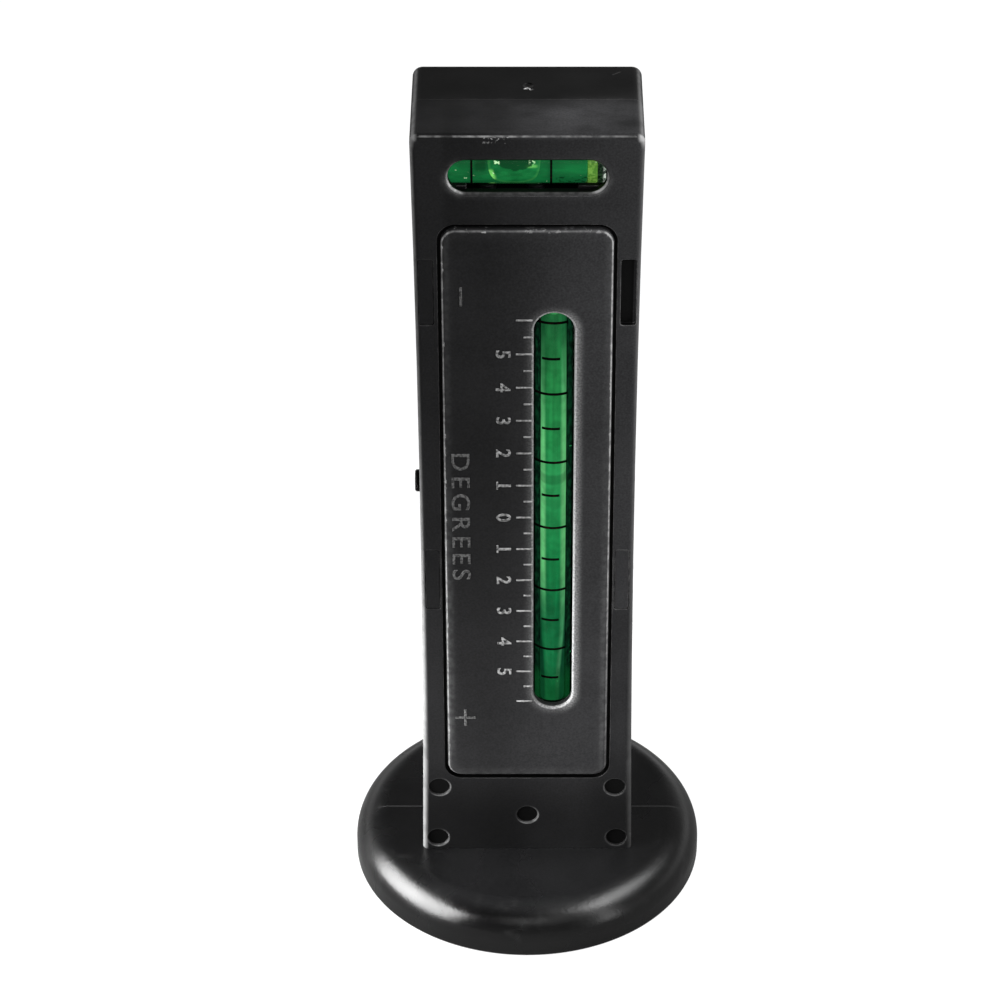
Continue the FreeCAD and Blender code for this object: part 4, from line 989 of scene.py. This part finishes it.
def sideways(mesh, low_x, height, middle_z, length, proud):
    """Places flat text on the plate: it reads downwards, its feet towards -X. Returns it as a bmesh in mm."""
    bm = bmesh.new()
    bm.from_mesh(mesh)
    bpy.data.meshes.remove(mesh)
    bmesh.ops.remove_doubles(bm, verts=bm.verts, dist=0.0001)
    low = Vector([min(v.co[i] for v in bm.verts) for i in range(3)])
    high = Vector([max(v.co[i] for v in bm.verts) for i in range(3)])
    size = high - low
    bmesh.ops.translate(bm, vec=-(low + size / 2), verts=bm.verts)
    wide = length / size.x if length else height / size.y
    bmesh.ops.scale(bm, vec=(wide, height / size.y, (2 * proud) / size.z), verts=bm.verts)
    turn = Matrix(((0, 1, 0), (0, 0, -1), (-1, 0, 0)))
    bmesh.ops.rotate(bm, cent=(0, 0, 0), matrix=turn, verts=bm.verts)
    bmesh.ops.translate(bm, vec=(low_x + height / 2, plate_face_y, middle_z), verts=bm.verts)
    return bm


def scale_figures():
    """Numbers at each degree, in both directions from zero. The ones stand on a foot."""
    for degree in range(-marked_degrees + 1, marked_degrees):
        z = zero_z + 2 * degree * half_degree
        bm = sideways(lettering(str(abs(degree))), digit_low_x, digit_height, z, None, tick_proud)
        if abs(degree) == 1:
            ridge(bm, digit_low_x, digit_low_x + digit_foot_width, z - digit_foot_half, z + digit_foot_half,
                  digit_foot_rounding)
        side = "up" if degree > 0 else "down"
        finished("figure_%s_%d" % (side, abs(degree)), bm, figure_grey)


def scale_signs():
    """A minus above, a plus below and the unit between them."""
    bm = bmesh.new()
    for z, plus in ((minus_z, False), (plus_z, True)):
        ridge(bm, sign_x - sign_width / 2, sign_x + sign_width / 2, z - sign_reach, z + sign_reach)
        if plus:
            ridge(bm, sign_x - sign_reach, sign_x + sign_reach, z - sign_width / 2, z + sign_width / 2)
    finished("scale_signs", bm, word_grey)
    unit = lettering("DEGREES", spacing=1.35, thicken=-0.006)
    unit = sideways(unit, word_low_x, word_height, zero_z, word_length, tick_proud)
    finished("scale_unit", unit, word_grey)


def side_figures():
    """Numbers beside the caster scale, at every second line from 4 through 0 to 12."""
    quarter_turn = Matrix.Rotation(math.radians(90), 3, "Z")
    for row in range(side_figure_rows):
        degree = 2 * row - 4
        z = side_zero_z - degree * side_degree
        bm = sideways(lettering(str(abs(degree))), side_figure_low, side_figure_height, z, None, side_proud)
        face = column_half - side_bow + side_bow * ((z - waist_z) / waist_reach) ** 2
        bmesh.ops.rotate(bm, cent=(0, 0, 0), matrix=quarter_turn, verts=bm.verts)
        bmesh.ops.translate(bm, vec=(face + plate_face_y, 0, 0), verts=bm.verts)
        finished("side_figure_%d" % (row + 1), bm, figure_grey)


# ---- vials ----
def on_bend(vial, x, y, s):
    """The point at (x, y) off a bent vial's centre line, at arc length s from its middle."""
    angle = s / vial["bend"]
    return Vector((
        vial["x"] + x,
        vial["y"] + vial["bend"] * (1 - math.cos(angle)) + y * math.cos(angle),
        vial["z"] + (vial["bend"] - y) * math.sin(angle),
    ))


def bent_rod(bm, vial, low, high, radius_at, steps):
    """A closed rod along a bent vial's centre line, from one arc length to another."""
    ring = bmesh.ops.create_circle(bm, cap_ends=True, radius=1.0, segments=rod_sides)["verts"]
    circle = [vert.co.copy() for vert in ring]
    face = next(f for f in bm.faces if all(v in ring for v in f.verts))

    def put(verts, s):
        for vert, base in zip(verts, circle):
            vert.co = on_bend(vial, base.x * radius_at(s), base.y * radius_at(s), s)

    put(ring, low)
    for step in range(1, steps + 1):
        made = bmesh.ops.extrude_face_region(bm, geom=[face])
        face = next(item for item in made["geom"] if isinstance(item, bmesh.types.BMFace))
        new = list(face.verts)
        ring = [next(e.other_vert(old) for e in old.link_edges if e.other_vert(old) in new) for old in ring]
        put(ring, low + (high - low) * step / steps)


def camber_liquid():
    def core_at(s):
        base = core_radius - core_thinning * (s / camber_vial["half"]) ** 2
        end = min(s - core_low, core_high - s)
        if end < base / 2:
            base *= math.sqrt(max(1 - (1 - 2 * end / base) ** 2, 0.02))
        return base

    bm = bmesh.new()
    bent_rod(bm, camber_vial, core_low, core_high, core_at, 120)
    finished("camber_liquid", bm, camber_green, stands_for=["camber_vial_liquid"], sharp=80.0)


def bent_drop(name, vial, node, finish, at, width, depth, half_length, reach):
    """A bent vial's bubble at its top end, rounded at both ends and as wide as it looks through the wall."""
    bm = bmesh.new()
    made = bmesh.ops.create_uvsphere(bm, u_segments=64, v_segments=48, radius=1.0)
    for vert in made["verts"]:
        x, y, along = [math.copysign(abs(part) ** drop_power, part) for part in vert.co]
        out = Vector((x * width, y * depth, 0.0))
        if out.length > reach:
            out *= reach / out.length
        vert.co = on_bend(vial, out.x, out.y, at + along * half_length)
    finished(name, bm, finish, node, [node], 80.0)


# ---- cross level ----
def level_drum(name, left, right, finish, node, ease=0.15):
    """A length of the cross level's inside, as wide as it looks through the wall."""
    bm = bmesh.new()
    made = bmesh.ops.create_cone(bm, cap_ends=True, segments=64, radius1=level_liquid_radius,
                                 radius2=level_liquid_radius, depth=right - left - level_joint)
    verts = made["verts"]
    bmesh.ops.rotate(bm, cent=(0, 0, 0), matrix=Matrix.Rotation(math.radians(90), 3, "Y"), verts=verts)
    bmesh.ops.translate(bm, vec=((left + right) / 2, level_y, level_z), verts=verts)
    break_edges(bm, sharp_edges(bm, lambda p: True), ease, 3)
    finished(name, bm, finish, stands_for=[node])


def level_bubble():
    """A long drop of gas that fills the upper part of the bore, rounded at both ends."""
    bm = bmesh.new()
    verts = bmesh.ops.create_uvsphere(bm, u_segments=96, v_segments=64, radius=1.0)["verts"]
    bmesh.ops.rotate(bm, cent=(0, 0, 0), matrix=Matrix.Rotation(math.radians(90), 3, "Y"), verts=verts)
    for vert in verts:
        vert.co = Vector([math.copysign(abs(part) ** drop_power, part) for part in vert.co])
    bmesh.ops.scale(bm, vec=(level_bubble_reach, level_bubble_across, level_bubble_depth), verts=verts)
    bmesh.ops.translate(bm, vec=(level_bubble_x, level_y, level_bubble_z), verts=verts)
    for vert in verts:
        out = Vector((0.0, vert.co.y - level_y, vert.co.z - level_z))
        if out.length > level_bubble_radius:
            out *= level_bubble_radius / out.length
            vert.co = Vector((vert.co.x, level_y + out.y, level_z + out.z))
    finished("level_bubble", bm, level_gas, "cross_bubble", ["cross_bubble"], 80.0)


magnetic_base()
faceplate()
scale_lines()
scale_figures()
scale_signs()
side_figures()
camber_liquid()
level_drum("level_liquid", level_bore_left, level_bore_right, level_green,
           "cross_vial_liquid", ease=0.5)
level_drum("level_plug", level_bore_right, level_plug_right, plug_green, "cross_vial_plug")
level_drum("level_seal", level_plug_right, level_seal_right, seal_clear, "cross_vial_seal")
level_bubble()
bent_drop("camber_drop", camber_vial, "camber_bubble", camber_gas, camber_drop_at,
          camber_drop_half_width, camber_drop_depth, camber_drop_half_length, camber_drop_reach)
bent_drop("caster_drop", caster_vial, "caster_bubble", caster_gas, caster_drop_at,
          caster_drop_depth, caster_drop_half_width, caster_drop_half_length, caster_drop_reach)


# ---- floor, light and camera ----
floor_half = 6.0
floor_drop = 0.1 * mm     # keeps the floor off the base's resting face
ambient_light = 0.78
camera_place = (0.0, -0.67023, 0.55532)
camera_tilt = 55.71
camera_lens = 132.17
camera_shift = -0.0272


def seen_directly(tree, at_camera, in_shine):
    """A level for what the camera sees, one for what shows in shine and clear parts, and 0 for light."""
    rays = added(tree, "LightPath").outputs
    shine = worked_out(tree, "MAXIMUM", rays["Is Glossy Ray"], rays["Is Transmission Ray"])
    shine = worked_out(tree, "MULTIPLY", shine, in_shine)
    return worked_out(tree, "MAXIMUM", worked_out(tree, "MULTIPLY", rays["Is Camera Ray"], at_camera), shine)


def white_world(ambient):
    """White to look at, and evenly pale as a light. Shine shows it white low down behind, and dimmer overhead
    and in front of the gauge."""
    world = bpy.data.worlds.new("white_studio")
    bpy.context.scene.world = world
    world.use_nodes = True
    tree = world.node_tree
    aim = added(tree, "SeparateXYZ", Vector=added(tree, "TexCoord").outputs["Generated"]).outputs
    overhead = eased(tree, aim["Z"], 0.12, 0.4, 1.0, 0.12)
    in_front = eased(tree, aim["Y"], -0.5, 0.2, 0.2, 0.85)
    level = worked_out(tree, "MULTIPLY", overhead, in_front)
    for share, other in ((seen_directly(tree, 0.0, 1.0), level), (seen_directly(tree, 1.0, 0.0), 1.0)):
        ambient = added(tree, "Mix", Factor=share, A=ambient, B=other).outputs["Result"]
    feed(tree, tree.nodes["Background"].inputs["Strength"], ambient)
    tree.nodes["Background"].inputs["Color"].default_value = grey(1.0)


def pale_floor():
    bm = bmesh.new()
    bmesh.ops.create_grid(bm, x_segments=4, y_segments=4, size=floor_half)
    bmesh.ops.translate(bm, vec=(0, 0, -floor_drop), verts=bm.verts)
    mesh = bpy.data.meshes.new("floor")
    bm.to_mesh(mesh)
    bm.free()
    material = bpy.data.materials.new("pale_floor")
    material.use_nodes = True
    tree = material.node_tree
    surface = tree.nodes["Principled BSDF"]
    surface.inputs["Base Color"].default_value = grey(0.14)
    surface.inputs["Roughness"].default_value = 0.9
    surface.inputs["Specular IOR Level"].default_value = 0.0
    surface.inputs["Emission Color"].default_value = grey(1.0)
    tree.links.new(seen_directly(tree, 0.91, 0.06), surface.inputs["Emission Strength"])
    mesh.materials.append(material)
    floor = placed("floor", mesh)


def softbox(name, turn, rise, distance, width, height, radiance, target=(0.0, 0.0, 0.03), spread=180.0):
    """Area lamp at an angle round from the front and up, in degrees, that faces its target from a distance."""
    lamp = bpy.data.lights.new(name, "AREA")
    lamp.shape = "RECTANGLE"
    lamp.size = width
    lamp.size_y = height
    lamp.energy = radiance * math.pi * width * height
    lamp.spread = math.radians(spread)
    holder = placed(name, lamp)
    turn, rise = math.radians(turn), math.radians(rise)
    aim = Vector((math.sin(turn) * math.cos(rise), -math.cos(turn) * math.cos(rise), math.sin(rise)))
    holder.location = Vector(target) + distance * aim
    holder.rotation_euler = aim.to_track_quat("Z", "Y").to_euler()
    holder.visible_camera = False


white_world(ambient_light)
pale_floor()
softbox("left_low", turn=-77, rise=24, distance=0.12, width=0.165, height=0.104, radiance=7.2,
        target=(-0.03, -0.03, 0.003), spread=100.0)
softbox("right_high", turn=84, rise=56, distance=0.5, width=0.34, height=0.2, radiance=8.0,
        target=(0.018, -0.03, 0.01))
softbox("right_near", turn=50, rise=8, distance=0.22, width=0.05, height=0.34, radiance=3.0,
        target=(0.0, -0.015, 0.12))
softbox("front_top", turn=5, rise=40, distance=1.2, width=0.7, height=0.5, radiance=0.9)

camera = bpy.data.cameras.new("camera")
camera.lens = camera_lens
camera.sensor_width = 36.0
camera.shift_x = camera_shift
holder = placed("camera", camera)
holder.location = camera_place
holder.rotation_euler = (math.radians(camera_tilt), 0.0, 0.0)
bpy.context.scene.camera = holder
bpy.context.scene.view_settings.view_transform = "Standard"
